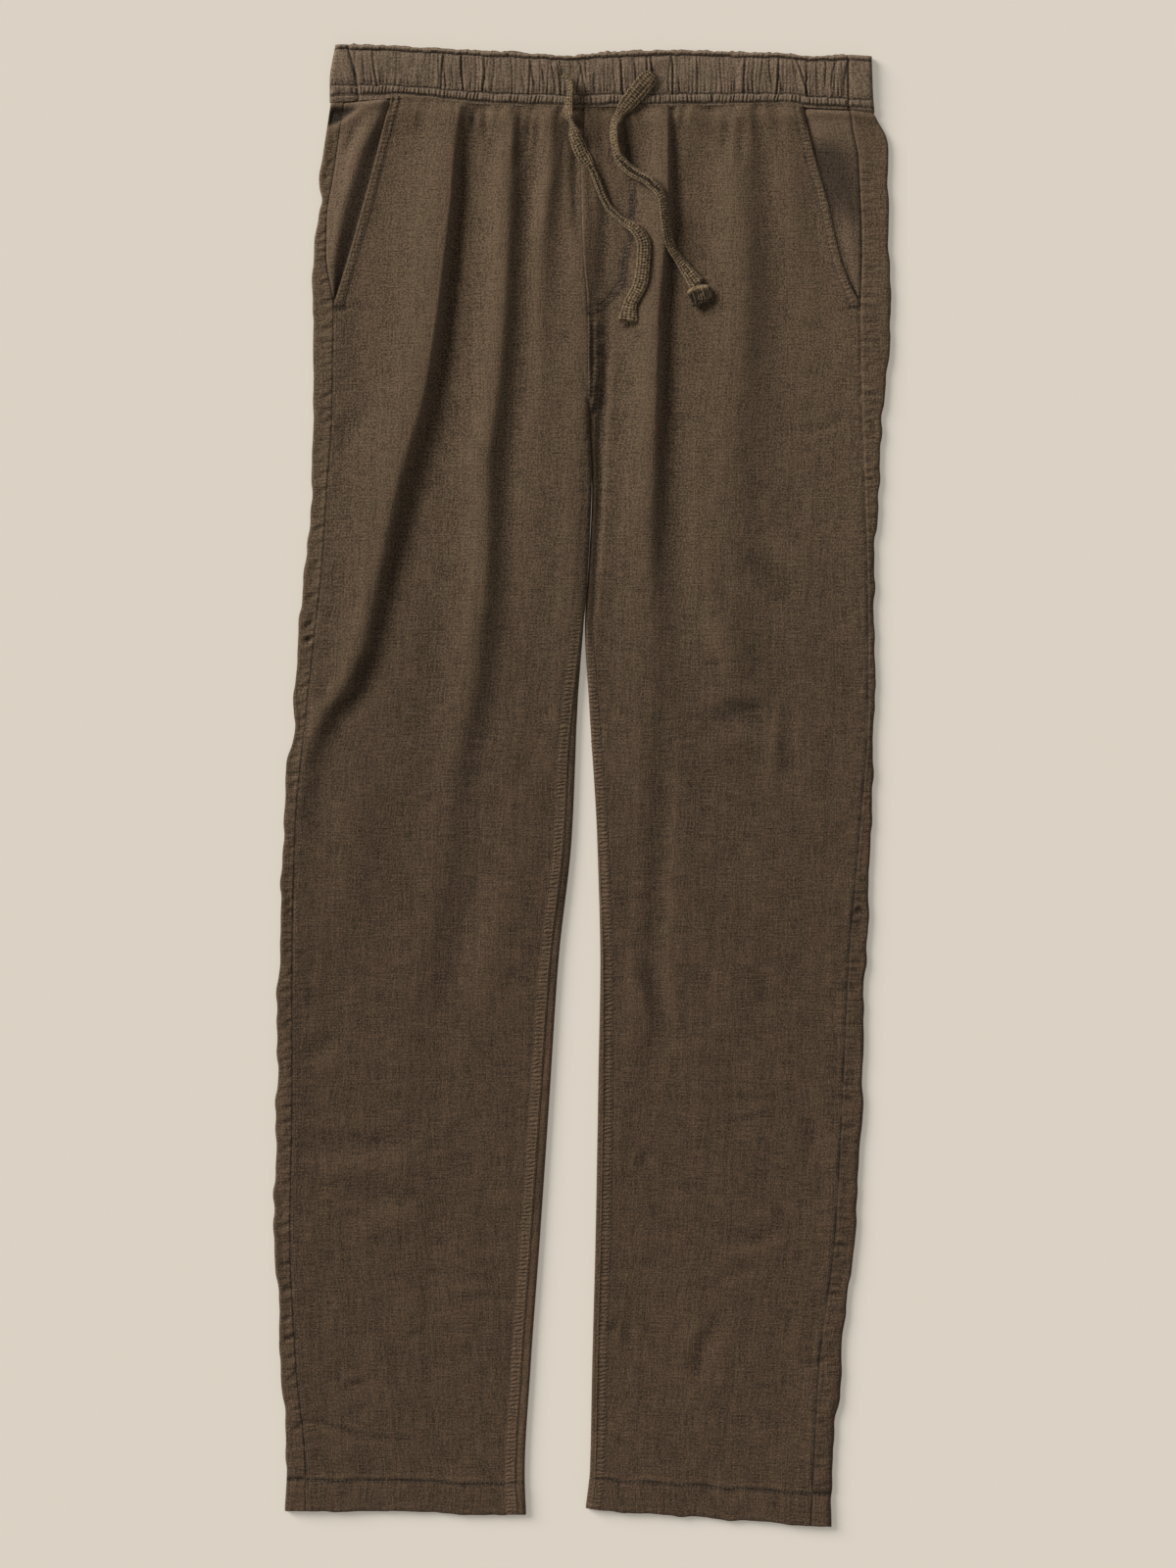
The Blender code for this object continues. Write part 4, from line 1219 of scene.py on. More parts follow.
            # On the right: a painted shadow beside the opening, painted light on the facing's lit flank and a
            # painted highlight on the seam's ridge.
            painted_shadow = 0.42 * bell(across - opening, 7.5) * ease(down, 54, 76)
            pale = 0.75 * fade(t, top - 0.1, top + 0.2) * fade(down, 110, 170)
            painted_light = np.maximum(pale, painted_light) + 1.1 * bell(across - seam - 1.2, 0.9)
        else:
            # On the left: the painted shadow that the raised edge of the opening casts on the sunk facing,
            # and painted light on the top.
            painted_shadow = 0.62 * bell(across - opening + 10, 14.0) * window(down, 56, 80, 106, 136)
            painted_shadow = painted_shadow + 0.3 * bell(across - opening, 2.5)
            painted_light = np.maximum(0.9 * fade(down, 56, 76), painted_light)
        depth, width = self.side.pick((0.2, 0.6), (0.85, 1.2))
        shade = depth * bell(across - seam, width) + painted_shadow * (down < POCKET_FOOT) + 0.9 * hollow
        flat = cloth_map(across + 900, down)
        masks = cloth_masks(across, np.clip(wear_and_hollow_shade(rise) + painted_light, -1.0, 1.3), shade)
        name, flip = self.side.value + "_pocket_facing_cloth", self.side is Side.RIGHT
        return cloth_from_grid(name, leg.place(down, across, z), flat, masks, FACING_CLOTH, flip)


@dataclass(frozen=True)
class Waistband:
    """The elasticated waistband: a wide gathered channel over a narrow one."""

    front_columns: int = 600
    back_columns: int = 150
    low: float = 3.75  # the inside of the front half
    top: float = 6.2
    roll: float = 3.1
    exits: Rows = ((-13.5, 21.0), (50.5, 20.0))  # where the tapes come out
    strong: Rows = (  # each a strong crease: x at the top, x at the bottom, depth, width
        (-147.5, -144.5, 0.9, 1.3), (-131.4, -131.4, 0.5, 1), (-101, -101.8, 0.6, 1.1),
        (-97, -99.5, 1.1, 1.2), (-84.5, -83.6, 0.8, 1), (-75.2, -75.2, 0.6, 1), (-69, -69.9, 1.1, 1.1),
        (-66, -67.5, 0.6, 1), (-50, -49, 0.5, 1), (-37.1, -37.1, 0.8, 1), (-23.9, -23.9, 0.5, 1),
        (-18, -14, 0.6, 1.2), (-1, 2.4, 0.8, 1.2), (3, 5, 0.5, 1.2), (27, 30.2, 1.2, 1.2),
        (45.4, 46.8, 0.9, 1.2), (49.5, 50, 0.7, 1), (63.5, 64.8, 1.1, 1.1), (81.5, 81.5, 0.7, 1),
        (98.8, 98.8, 0.5, 1), (115.5, 115.5, 1.1, 1.3), (121.7, 122, 0.6, 1), (127.5, 126.5, 0.5, 1),
        (139, 138.4, 1.1, 1.2), (151.5, 160.5, 1.1, 1.3), (159, 160, 0.6, 1.2), (166.5, 168.5, 0.4, 1.2),
        (181, 177, 0.5, 1.2),
    )

    def levels(self, x: Array) -> list[Array]:
        """How far down the top edge, the uneven rows of stitches and the bottom edge lie.

        Args:
            x: Places across.

        Returns:
            The five levels, from the top one.
        """
        sizes = [BAND.line(name, x) for name in ("top", "lip", "upper", "lower", "bottom")]
        for row in (1, 2, 3):
            sizes[row] = sizes[row] + 0.45 * wander(x, 5.2, 62 + row) + 0.2 * wander(x, 2.4, 66 + row)
        return sizes

    def down(self, x: Array, row: Array) -> Array:
        """A row's place down: each whole number of it is one of the band's five levels.

        Args:
            x: Places across.
            row: Its row in the band.

        Returns:
            How far down each point lies.
        """
        levels = self.levels(x)
        base = np.clip(np.floor(row), 0, 3)
        down = np.zeros(np.broadcast(x, row).shape)
        for n in range(4):
            between = levels[n] + (levels[n + 1] - levels[n]) * (row - n)
            down = np.where(base == n, between, down)
        return down

    def slits(self, x: Array, t: Array, pitch: float, width: float, seed: int) -> Array:
        """Narrow valleys between gathers, uneven in spacing, slant, depth and length.

        Args:
            x: Places across.
            t: How far down the channel it lies, from 0 to 1.
            pitch: The gathers' average width.
            width: A valley's own width.
            seed: Which set of valleys to lay.

        Returns:
            How deep each point lies in a valley, from 0 to 1.
        """
        lean = (1.6 * wander(x, 23, seed) + 1.1 * np.sin(3.4 * t + x / 9)) * (t - 0.5) * pitch / 3
        phase = (x + lean) / pitch + 0.42 * wander(x / pitch, 1.4, seed + 1)
        nearest = np.rint(phase)
        away = (phase - nearest) * pitch
        strength = 0.5 + 0.5 * wander(nearest, 1, seed + 2)
        reach = wander(nearest, 1, seed + 3)
        short = np.abs(reach)
        from_top = fade(t, 0.25 + 0.5 * short, 0.65 + 0.6 * short)
        from_foot = ease(t, 0.4 - 0.6 * short, 0.85 - 0.6 * short)
        length = np.where(reach > 0.35, from_top, np.where(reach < -0.1, from_foot, 1.0))
        return strength * length * bell(away, width)

    def off_beat(self, x: Array, pitch: float, seed: int) -> Array:
        """How far each point lies from the nearest valley of a set, in millimetres."""
        phase = x / pitch + 0.42 * wander(x / pitch, 1.4, seed + 1)
        return (phase - np.rint(phase)) * pitch

    def hollows(self, x: Array, row: Array) -> Array:
        """All the valleys between the gathers of both channels and of the top lip.

        Args:
            x: Places across.
            row: Its row in the band.

        Returns:
            How deep each point lies.
        """
        t = np.clip(row - 1, 0, 1)
        middle = 0 * t + 0.5
        ends = 0.35 + 0.65 * np.maximum(fade(t, 0.0, 0.3), ease(t, 0.55, 0.95))
        wide = 1.0 * ends * self.slits(x, t, 2.6, 0.5, 41) + 1.15 * self.slits(x, t, 7.1, 0.62, 46)
        slanted = x + 1.9 * (row - 2.5) * (0.3 + 0.7 * wander(x, 27, 57))
        narrow = 0.35 + self.slits(slanted, middle, 2.5, 0.5, 51)
        narrow = narrow * bell(self.off_beat(slanted, 2.5, 51), 0.55)
        lip = self.slits(x + 2.2 * (row - 0.5), middle, 3.2, 0.5, 56)
        sunk = window(row, 1.0, 1.1, 1.9, 2.0) * wide + window(row, 2.0, 2.2, 2.85, 3.0) * 1.35 * narrow
        return sunk + window(row, 0.05, 0.3, 0.85, 1.0) * lip

    def puffs(self, x: Array, row: Array, down: Array) -> Array:
        """How the gathers raise the cloth between the rows of stitches.

        Args:
            x: Places across.
            row: Its row in the band.
            down: How far down it lies.

        Returns:
            How far each point rises.
        """
        wide = 0.8 + 0.35 * scatter(x / 5.4, down / 34, 42) + 0.6 * scatter(x / 13.0, down / 14, 43)
        narrow = 1.15 + 0.35 * wander(x, 9, 46)
        lip = 1.25 + 0.35 * wander(x, 7, 47)
        rise = window(row, 1.0, 1.18, 1.82, 2.0) * wide + window(row, 2.0, 2.3, 2.7, 3.0) * narrow
        return rise + window(row, 0.1, 0.35, 0.65, 0.95) * lip - 0.9 * self.hollows(x, row)

    def creases(self, x: Array, row: Array) -> Array:
        """The strong creases of the wide channel.

        Args:
            x: Places across.
            row: Its row in the band.

        Returns:
            How far each point rises.
        """
        t = np.clip(row - 1, 0, 1)
        depth = np.zeros(np.broadcast(x, row).shape)
        for high, low, deep, wide in self.strong:
            away = x - (high + (low - high) * t) - 0.7 * np.sin(3 * t + high)
            wide = 0.62 * wide
            depth += deep * (0.4 * bell(np.abs(away) - 2.2 * wide, 1.1 * wide) - 1.1 * bell(away, wide))
        return depth * window(row, 0.9, 1.15, 1.95, 2.25)

    def rows(self) -> Array:
        """The rows from the top edge to the bottom one, closer together beside the stitches."""
        lip, wide = np.linspace(0, 1, 6), columns(1.0, 2.0, 26, 0.55)
        narrow, edge = np.linspace(2, 3, 9), np.linspace(3, 4, 4)
        return np.concatenate([lip[:-1], wide[:-1], narrow[:-1], edge])[:, None]

    @staticmethod
    def height_share(row: Array) -> Array:
        """How much of the band's height lies above a row."""
        return np.interp(row, (0, 1, 2, 3, 4), (0, 0.09, 0.78, 0.94, 1.0))

    def grooves(self, x: Array, down: Array) -> Array:
        """How deep the rows of stitches pull the cloth in."""
        lip, upper, lower = self.levels(x)[1:4]
        return bell(down - lip, 0.5) + bell(down - upper, 0.6) + bell(down - lower, 0.6)

    def front(self) -> Piece:
        """The front half, between the two side seams on top.

        Returns:
            The finished piece.
        """
        row = self.rows()
        along = np.linspace(0, 1, self.front_columns)[None, :]
        share = self.height_share(row)
        start = BAND_SIDES.read("right_seam", share) + SEAM_GAP / 2
        end = BAND_SIDES.read("left_seam", share) - SEAM_GAP / 2
        x = start + (end - start) * along
        down = self.down(x, row)
        creases, hollows = self.creases(x, row), self.hollows(x, row)
        rise = self.puffs(x, row, down) + creases - 0.75 * self.grooves(x, down)
        side = np.minimum(x - start, end - x)
        rise = rise * ease(side, 0.0, 3.0) - 0.9 * bell(side, 0.7)
        edge = 1.7 * fade(row, 0.0, 0.5) + 0.7 * ease(row, 3.1, 3.6)
        z = np.maximum(self.top + rise - edge, self.low + 1.2)
        down = down + (0.45 * wander(x, 2.6, 58) + 0.4 * wander(x, 8.0, 59)) * bell(row, 0.4)
        shade = 0.36 * hollows + 0.38 * self.grooves(x, down) - 0.17 * np.minimum(creases, 0)
        shade = shade + 0.2 * bell(side, 0.6)
        for slit_x, slit_down in self.exits:
            z = z - 0.8 * bell(x - slit_x, 1.1) * bell(down - slit_down, 3.2)
            shade = shade + 0.8 * bell(x - slit_x, 1.3) * bell(down - slit_down, 3.4)
        flat = cloth_map(x, down)
        # Painted highlights on the top lip and on the narrow channel's puffs, a painted highlight over the
        # band towards the right hip, and one on the bottom edge where it rises.
        lit = 0.9 * window(row, 0.05, 0.2, 0.7, 0.9) + 0.75 * window(row, 2.1, 2.3, 2.7, 2.9)
        corner = 0.9 * bell(x + 138, 13.0) * ease(row, 1.6, 2.2)
        wear = np.clip(wear_and_hollow_shade(rise) + lit + 0.4 * ease(row, 3.2, 3.5) + corner, -1.0, 1.3)
        masks = cloth_masks(down, wear, shade, pull=-0.3)
        points = in_space(x, down, z)
        return cloth_from_grid("waistband_front_cloth", points, flat, masks, BAND_CLOTH, flip=True)

    def back(self) -> Piece:
        """The back half: flat below, and round both edges to its side seams on top.

        Returns:
            The finished piece.
        """
        row = self.rows()
        share = self.height_share(row)
        edges = {name: BAND_SIDES.read(name, share) for name in BAND_SIDES.columns[1:]}
        turned = np.broadcast_to(np.linspace(0, math.pi, 10)[None, 1:], (len(row), 9))
        round_x, round_z = self.roll * np.sin(turned), self.roll + self.roll * np.cos(turned)
        xs, zs, keeps, starts = [], [], [], []
        for seam, edge, way in (("right_seam", "right_edge", -1), ("left_seam", "left_edge", 1)):
            begin = edges[edge] - way * self.roll
            strip = np.linspace(edges[seam] - way * 2.0, begin, 11)[..., 0].T
            starts.append(begin)
            xs.append(np.concatenate([strip, begin + way * round_x], axis=1)[:, ::-way])
            zs.append(np.concatenate([strip * 0 + 2 * self.roll, round_z], axis=1)[:, ::-way])
            keeps.append(np.concatenate([strip * 0 + 1.0, np.clip(np.cos(turned), 0, 1)], axis=1)[:, ::-way])
        flat_x = np.linspace(starts[0] + 1.5, starts[1] - 1.5, self.back_columns)[..., 0].T
        x = np.concatenate([xs[0], flat_x, xs[1]], axis=1)
        z = np.concatenate([zs[0], flat_x * 0, zs[1]], axis=1)
        keep = np.concatenate([keeps[0], flat_x * 0, keeps[1]], axis=1)
        down = self.down(x, row)
        grooves, puffs = self.grooves(x, down), self.puffs(x, row, down)
        lift = puffs - 0.75 * grooves
        inside = np.maximum(np.minimum(x - edges["right_seam"], edges["left_seam"] - x), -20.0)
        tucked = ease(inside, -0.6, 0.6) * (z > self.roll)
        z = z + keep * lift * 0.7 - 1.6 * tucked - 0.7 * bell(inside, 0.8) * keep
        hollow = np.clip(-puffs * 1.3 + 0.2 + grooves * 0.4, 0, 1.1)
        z = np.where((keep == 0) & (z < 0.01), hollow, z)
        z = z + keep * -1.2 * (bell(row, 0.2) + bell(row - 4, 0.3))
        down = down - 1.4 * bell(x + 46, 9) * fade(row, 0, 1.0)
        run = np.cumsum(np.abs(np.diff(x, axis=1, prepend=x[:, :1])), axis=1)
        flat = cloth_map(run + 600, down)
        shade = 0.36 * grooves + 0.3 * self.hollows(x, row) + 0.3 * bell(inside, 0.6)
        # Painted highlights on the top lip.
        wear = np.clip(wear_and_hollow_shade(lift) + 0.7 * window(row, 0.05, 0.2, 0.7, 0.9), -1, 1)
        masks = cloth_masks(down, wear, shade, pull=-0.3)
        points = in_space(x, down, z)
        return cloth_from_grid("waistband_back_cloth", points, flat, masks, BAND_CLOTH, flip=False)


TAPE_FORM = ("step", "width", "thickness", "folded", "aside")


@dataclass(frozen=True)
class Tape:
    """A free end of the flat knitted drawstring, swept along its route."""

    name: str
    route: Rows  # x, down, z, and tilt: 90 stands the tape on edge
    form: Table  # sizes by the step along the route: folded lengthwise, and lying aside of the route
    rings: int = 470
    around: int = 40
    fine: int = 2000  # points along the route that the rings are measured on
    knit: float = 2.0  # the height of a row of the knit
    wales: float = 4.4  # columns of the knit across one face
    loop: float = 0.22  # the height of a loop of the knit

    def along_route(self, steps: Array, column: int) -> Array:
        """One column of the route, as a smooth curve over its steps."""
        return smooth(steps, range(len(self.route)), [row[column] for row in self.route])

    def path(self, count: int = 160) -> Array:
        """Points along the middle line, in metres."""
        steps = np.linspace(0, len(self.route) - 1, count)
        return in_space(*(self.along_route(steps, column) for column in range(3)))

    @staticmethod
    def directions(centre: Array, tilt: Array) -> tuple[Array, Array, Array]:
        """The tape's way across, over and level to the side, at each ring.

        Args:
            centre: The middle of each ring.
            tilt: How far each ring leans, in radians.

        Returns:
            The three directions.
        """
        slopes = np.gradient(centre, axis=0).T
        softened = [np.convolve(np.pad(slope, 6, mode="edge"), np.ones(13), "valid") for slope in slopes]
        tangent = np.stack(softened, axis=-1)
        tangent /= np.linalg.norm(tangent, axis=1, keepdims=True)
        side = np.cross(tangent, [0.0, 0.0, 1.0])
        side /= np.linalg.norm(side, axis=1, keepdims=True)
        up = np.cross(side, tangent)
        turn = tilt[:, None]
        return side * np.cos(turn) + up * np.sin(turn), up * np.cos(turn) - side * np.sin(turn), side

    def build(self) -> Piece:
        """Makes the knitted tube of the tape.

        Returns:
            The finished piece.
        """
        fine = np.linspace(0, len(self.route) - 1, self.fine)
        line = self.path(self.fine) / MM
        run = np.concatenate([[0.0], np.cumsum(np.linalg.norm(np.diff(line, axis=0), axis=1))])
        along = np.linspace(0, run[-1], self.rings)
        steps = np.interp(along, run, fine)
        centre = np.stack([np.interp(steps, fine, line[:, n]) for n in range(3)], axis=-1)
        across, over, side = self.directions(centre, np.radians(self.along_route(steps, 3)))
        width, thick, folded, aside = (self.form.read(name, steps)[:, None] for name in TAPE_FORM[1:])
        angle = np.linspace(0, 2 * math.pi, self.around, endpoint=False)[None, :]
        u, v = squared(np.cos(angle), 0.75), squared(np.sin(angle), 0.62)
        row = along[:, None]
        wale = u * self.wales * math.pi
        loops = 0.52 * np.cos(wale) + 0.48 * np.cos(2 * math.pi * row / self.knit + 1.6 * np.sin(wale))
        knit = self.loop * loops + 0.03 * scatter(u * 3 + 0 * row, row / 2.1, 61)
        half = width / 2 + 0.25 * wander(row, 6, 62)
        height = thick / 2 * (1 - 0.25 * folded * (v > 0) * bell(u - 0.1, 0.28) * 3) + knit
        bow = (0.35 * folded + 0.5) * (1 - u**2)
        offset = across[:, None, :] * (u * half)[..., None] + (side * aside)[:, None, :]
        offset = offset + over[:, None, :] * (v * height + bow)[..., None]
        taper = ease(along, 0, 1.2) * (1 - 0.5 * ease(along, run[-1] - 1.0, run[-1]))
        points = (centre[:, None, :] + offset * np.maximum(taper, 0.25)[:, None, None]) * MM
        # Painted shade in the tape's lengthwise fold and along its edges.
        folds = 1.2 * folded * bell(u - 0.1, 0.2) * (v > 0)
        shade = np.clip(folds + 0.25 * ease(np.abs(u), 0.8, 1.0), 0, 1)
        flat = cloth_map(angle / (2 * math.pi) * 2 * self.wales * 1.7, row)
        # The knit's loops are painted lighter on their tops and in painted shade in the gaps between them.
        return tube_from_rings(self.name, points, flat, {"wear": 1.6 * knit / self.loop, "shade": shade})


def tube_from_rings(name: str, points: Array, flat: Array, masks: Masks) -> Piece:
    """Joins rings of points into a closed tube with filled ends.

    Args:
        name: The piece's name.
        points: Rings of points, in metres.
        flat: Where each point lies on the flat cloth, round and along, in millimetres.
        masks: Values over the surface, by name, which its material reads.

    Returns:
        The finished piece.
    """
    rings, around = points.shape[:2]
    mesh = bpy.data.meshes.new(name)
    index = np.arange(rings * around).reshape(rings, around)
    after = np.roll(index, -1, axis=1)
    quads = np.stack([index[:-1], after[:-1], after[1:], index[1:]], axis=-1).reshape(-1, 4)
    ends = [index[0][::-1].tolist(), index[-1].tolist()]
    mesh.from_pydata(points.reshape(-1, 3).tolist(), [], quads.tolist() + ends)
    mark_cloth(mesh, flat, masks)
    return closed_piece(name, mesh)


RIGHT_TAPE = Tape(
    "drawstring_right_tape",
    (
        (-13, 22, 12.2, -50), (-9, 32, 12.5, -62), (-10, 46, 10.4, -35), (-7.5, 57, 10.2, -60),
        (0, 76, 7, 10), (8, 90, 6.3, 0), (18, 114, 7, 0), (28, 125, 10, 10), (39, 133, 13, 20),
        (44, 145, 13.3, 10), (42, 168, 12.8, 0), (34, 186, 11.4, 0), (32.5, 197, 11, 0),
    ),
    Table(
        TAPE_FORM,
        (
            (0, 6, 1.6, 0, 0), (1, 7, 1.8, 0, -1.4), (1.7, 7, 2, 0, -1.2), (2.4, 10, 1.6, 0, 0.6),
            (3, 5.4, 1.7, 0.2, -0.6), (3.4, 9.4, 1.6, 0, 0), (4.3, 10.2, 1.6, 0, 0.6), (5, 4.9, 2.4, 0.9, 0),
            (6.7, 4.9, 2.6, 0.9, 0), (7.6, 8, 1.9, 0.3, 0), (9, 10.2, 1.9, 0, 0), (10.6, 9.8, 1.9, 0, 0),
            (12, 14, 1.7, 0, 0),
        ),
    ),
)
LEFT_TAPE = Tape(
    "drawstring_left_tape",
    (
        (51, 21, 9.7, 10), (40, 34, 9.5, 10), (28, 49, 8.6, 10), (22.5, 61, 10.4, -55), (24.5, 77, 10.6, -40),
        (34, 90, 10.8, 10), (48, 98.5, 13.2, 0), (57, 111, 14.1, 30), (59.5, 130, 13.8, 40),
        (63.5, 145, 10.8, 20), (72.5, 158, 8, 0), (82, 171.5, 8.8, 0),
    ),
    Table(
        TAPE_FORM,
        (
            (0, 6.5, 1.5, 0, 0), (0.4, 12.8, 1.5, 0, 0), (1, 13.4, 1.5, 0, 0), (1.7, 10.6, 1.6, 0, 0),
            (2.3, 6.4, 1.9, 0.2, 0), (3.2, 8.6, 2, 0, 0), (4, 6.6, 2.2, 0.2, 0), (5, 7.5, 2.5, 1.3, 0),
            (6.2, 7.5, 2.5, 1.2, 0), (7, 8, 2.4, 0.1, 0), (8.4, 8.8, 2.3, 0, 0), (9.4, 6.2, 2, 0, 0),
            (11, 12, 1.7, 0.4, 0),
        ),
    ),
)


@dataclass(frozen=True)
class TapeKnot:
    """The folded and knotted end of the wearer's left tape."""

    place: Triple = (84.0, 178.5, 9.8)
    size: Triple = (16.5, 13.6, 6.0)
    turn: float = 18.0
    rings: int = 46
    around: int = 60

    def build(self) -> Piece:
        """Makes the block of wound tape: a rounded lump with turns pressed into it.

        Returns:
            The finished piece.
        """
        t = np.linspace(0, math.pi, self.rings)[:, None]
        a = np.linspace(0, 2 * math.pi, self.around, endpoint=False)[None, :]
        x = squared(np.cos(t), 0.5) + 0 * a
        ring = squared(np.sin(t), 0.42)
        y, z = ring * squared(np.cos(a), 0.5), ring * squared(np.sin(a), 0.6)
        winds = 0.05 * np.cos(3 * (a + 0.9 * x)) + 0.05 * scatter(x * 3, y * 3 + z, 71)
        px, py, pz = (way * size / 2 * (1 + winds) for way, size in zip((x, y, z), self.size))
        knit = 0.16 * np.cos(2 * math.pi * px / 1.6) * np.cos(2 * math.pi * py / 1.7)
        pz = pz + (knit - 0.12 * px + 0.19 * py) * (pz > 0)
        upper = pz > 0
        # A painted highlight along the upper rim, and painted shade over the rest of the upper face.
        painted_rim_highlight = bell(py - self.size[1] * 0.40, 1.3) * upper
        turn = math.radians(self.turn)
        x = px * math.cos(turn) - py * math.sin(turn) + self.place[0]
        down = self.place[1] - px * math.sin(turn) - py * math.cos(turn)
        flat = cloth_map(a * 2.2, px)
        masks = {"wear": winds * 6 + knit * 5 + 1.4 * painted_rim_highlight, "shade": 0.36 * upper * (1 - painted_rim_highlight)}
        return tube_from_rings("drawstring_knot_end", in_space(x, down, pz + self.place[2]), flat, masks)


@dataclass(frozen=True)
class Fray:
    """The loose threads at the end of the wearer's right tape."""

    threads: int = 34
    length: float = 6.5
    half_width: float = 5.4  # of the row that the threads grow from
    radius: float = 0.28
    bends: int = 4

    def build(self, tape: Tape) -> Piece:
        """Makes short bent threads that spread from the tape's cut end.

        Args:
            tape: The tape that they end.

        Returns:
            The finished piece.
        """
        drawn = np.random.default_rng(7)
        line = tape.path(400) / MM
        end, before = line[-1], line[-12]
        ahead = (end - before) / np.linalg.norm(end - before)
        side = np.cross(ahead, [0, 0, 1.0])
        curve = bpy.data.curves.new("drawstring_right_fray", "CURVE")
        curve.dimensions = "3D"
        curve.bevel_depth = self.radius * MM
        curve.bevel_resolution = 1
        curve.use_fill_caps = True
        for n in range(self.threads):
            share = (n + drawn.uniform(0, 1)) / self.threads * 2 - 1
            root = end + side * share * self.half_width - ahead * 2.0
            root = root + np.array([0, 0, drawn.uniform(-0.6, 0.5)])
            lean = side * (share * 0.5 + drawn.uniform(-0.3, 0.3)) + ahead * drawn.uniform(0.7, 1.1)
            reach = self.length * drawn.uniform(0.5, 1.0)
            spline = curve.splines.new("POLY")
            spline.points.add(self.bends)
            for m, point in enumerate(spline.points):
                s = m / self.bends
                place = root + lean * reach * s + np.array([0, 0, 0.4 * math.sin(3 * s + n) - 1.2 * s * s])
                point.co = (*(place * MM), 1)
                point.radius = 1 - 0.5 * s
        piece = add_to_scene(curve.name, curve)
        bpy.ops.object.select_all(action="DESELECT")
        piece.select_set(True)
        bpy.context.view_layer.objects.active = piece
        bpy.ops.object.convert(target="MESH")
        return bpy.context.object


@dataclass(frozen=True)
class Stitching:
    """Rows of stitches that lie on finished cloth, each stitch a small plump grain of thread."""

    name: str
    rows: tuple[Rows, ...]  # each row's (x, down) points
    pitch: float = 3.2
    length: float = 2.5
    width: float = 0.62
    height: float = 0.5
    rings: Rows = ((-0.5, 0.15), (-0.22, 0.9), (0.22, 0.9), (0.5, 0.15))  # a stitch's girth along its length
    sides: int = 5

    def grain(self) -> tuple[Array, list[tuple[int, ...]]]:
        """One stitch: its points, along and round it, and its faces.

        Returns:
            The points and the faces.
        """
        turns = [2 * math.pi * n / self.sides + 0.3 for n in range(self.sides)]
        points = [(at, g * math.cos(turn), g * math.sin(turn)) for at, g in self.rings for turn in turns]
        faces = []
        for first in range(0, len(points) - self.sides, self.sides):
            for n in range(self.sides):
                a, b = first + n, first + (n + 1) % self.sides
                faces.append((a, b, b + self.sides, a + self.sides))
        last = len(points) - self.sides
        ends = [tuple(range(self.sides))[::-1], tuple(range(last, len(points)))]
        return np.array(points), faces + ends

    def spread(self, row: Rows) -> tuple[Array, Array]:
        """The places of one row's stitches, and the way each runs.

        Args:
            row: The row's points.

        Returns:
            The places and the ways, as x and down.
        """
        points = np.array(row, float)
        run = np.concatenate([[0.0], np.cumsum(np.hypot(*np.diff(points, axis=0).T))])
        at = np.arange(self.pitch, run[-1] - self.pitch / 2, self.pitch)
        place = np.stack([np.interp(at, run, points[:, n]) for n in range(2)], axis=-1)
        ahead = np.stack([np.interp(at + 0.5, run, points[:, n]) for n in range(2)], axis=-1)
        way = ahead - place
        return place, way / np.maximum(np.linalg.norm(way, axis=1, keepdims=True), 1e-6)

    def build(self, cloths: Sequence[Piece]) -> Piece:
        """Lays every stitch on the cloth under it and joins them.

        Args:
            cloths: The finished cloth pieces that the rows cross.

        Returns:
            The joined stitches.
        """
        graph = bpy.context.evaluated_depsgraph_get()
        trees = [BVHTree.FromObject(cloth, graph) for cloth in cloths]
        grain, faces = self.grain()
        vertices, polygons = [], []
        for row in self.rows:
            for place, way in zip(*self.spread(row)):
                ends = [self.drop(trees, place + way * self.length * s) for s in (-0.42, 0.42)]
                if None in ends:
                    continue
                start, end = (np.array(p) / MM for p in ends)
                axis = (end - start) / np.linalg.norm(end - start)
                side = np.cross(axis, [0, 0, 1.0])
                side /= np.linalg.norm(side)
                up = np.cross(side, axis)
                body = (start + end) / 2 + up * 0.12 + np.outer(grain[:, 0] * self.length, axis)
                body += np.outer(grain[:, 1] * self.width / 2, side)
                body += np.outer(grain[:, 2] * self.height / 2, up)
                polygons += [tuple(len(vertices) + n for n in face) for face in faces]
                vertices += (body * MM).tolist()
        mesh = bpy.data.meshes.new(self.name)
        mesh.from_pydata(vertices, [], polygons)
        return closed_piece(self.name, mesh)

    @staticmethod
    def drop(trees: Sequence[BVHTree], place: Array) -> Vector | None:
        """The highest cloth below a place, or None.

        Args:
            trees: The cloth.
            place: The place, as x and down.

        Returns:
            The point on the cloth, in metres.
        """
        origin = Vector((place[0] * MM, (LENGTH / 2 - place[1]) * MM, 0.1))
        hits = [tree.ray_cast(origin, Vector((0, 0, -1)))[0] for tree in trees]
        hits = [hit for hit in hits if hit is not None]
        return max(hits, key=lambda hit: hit.z) if hits else None


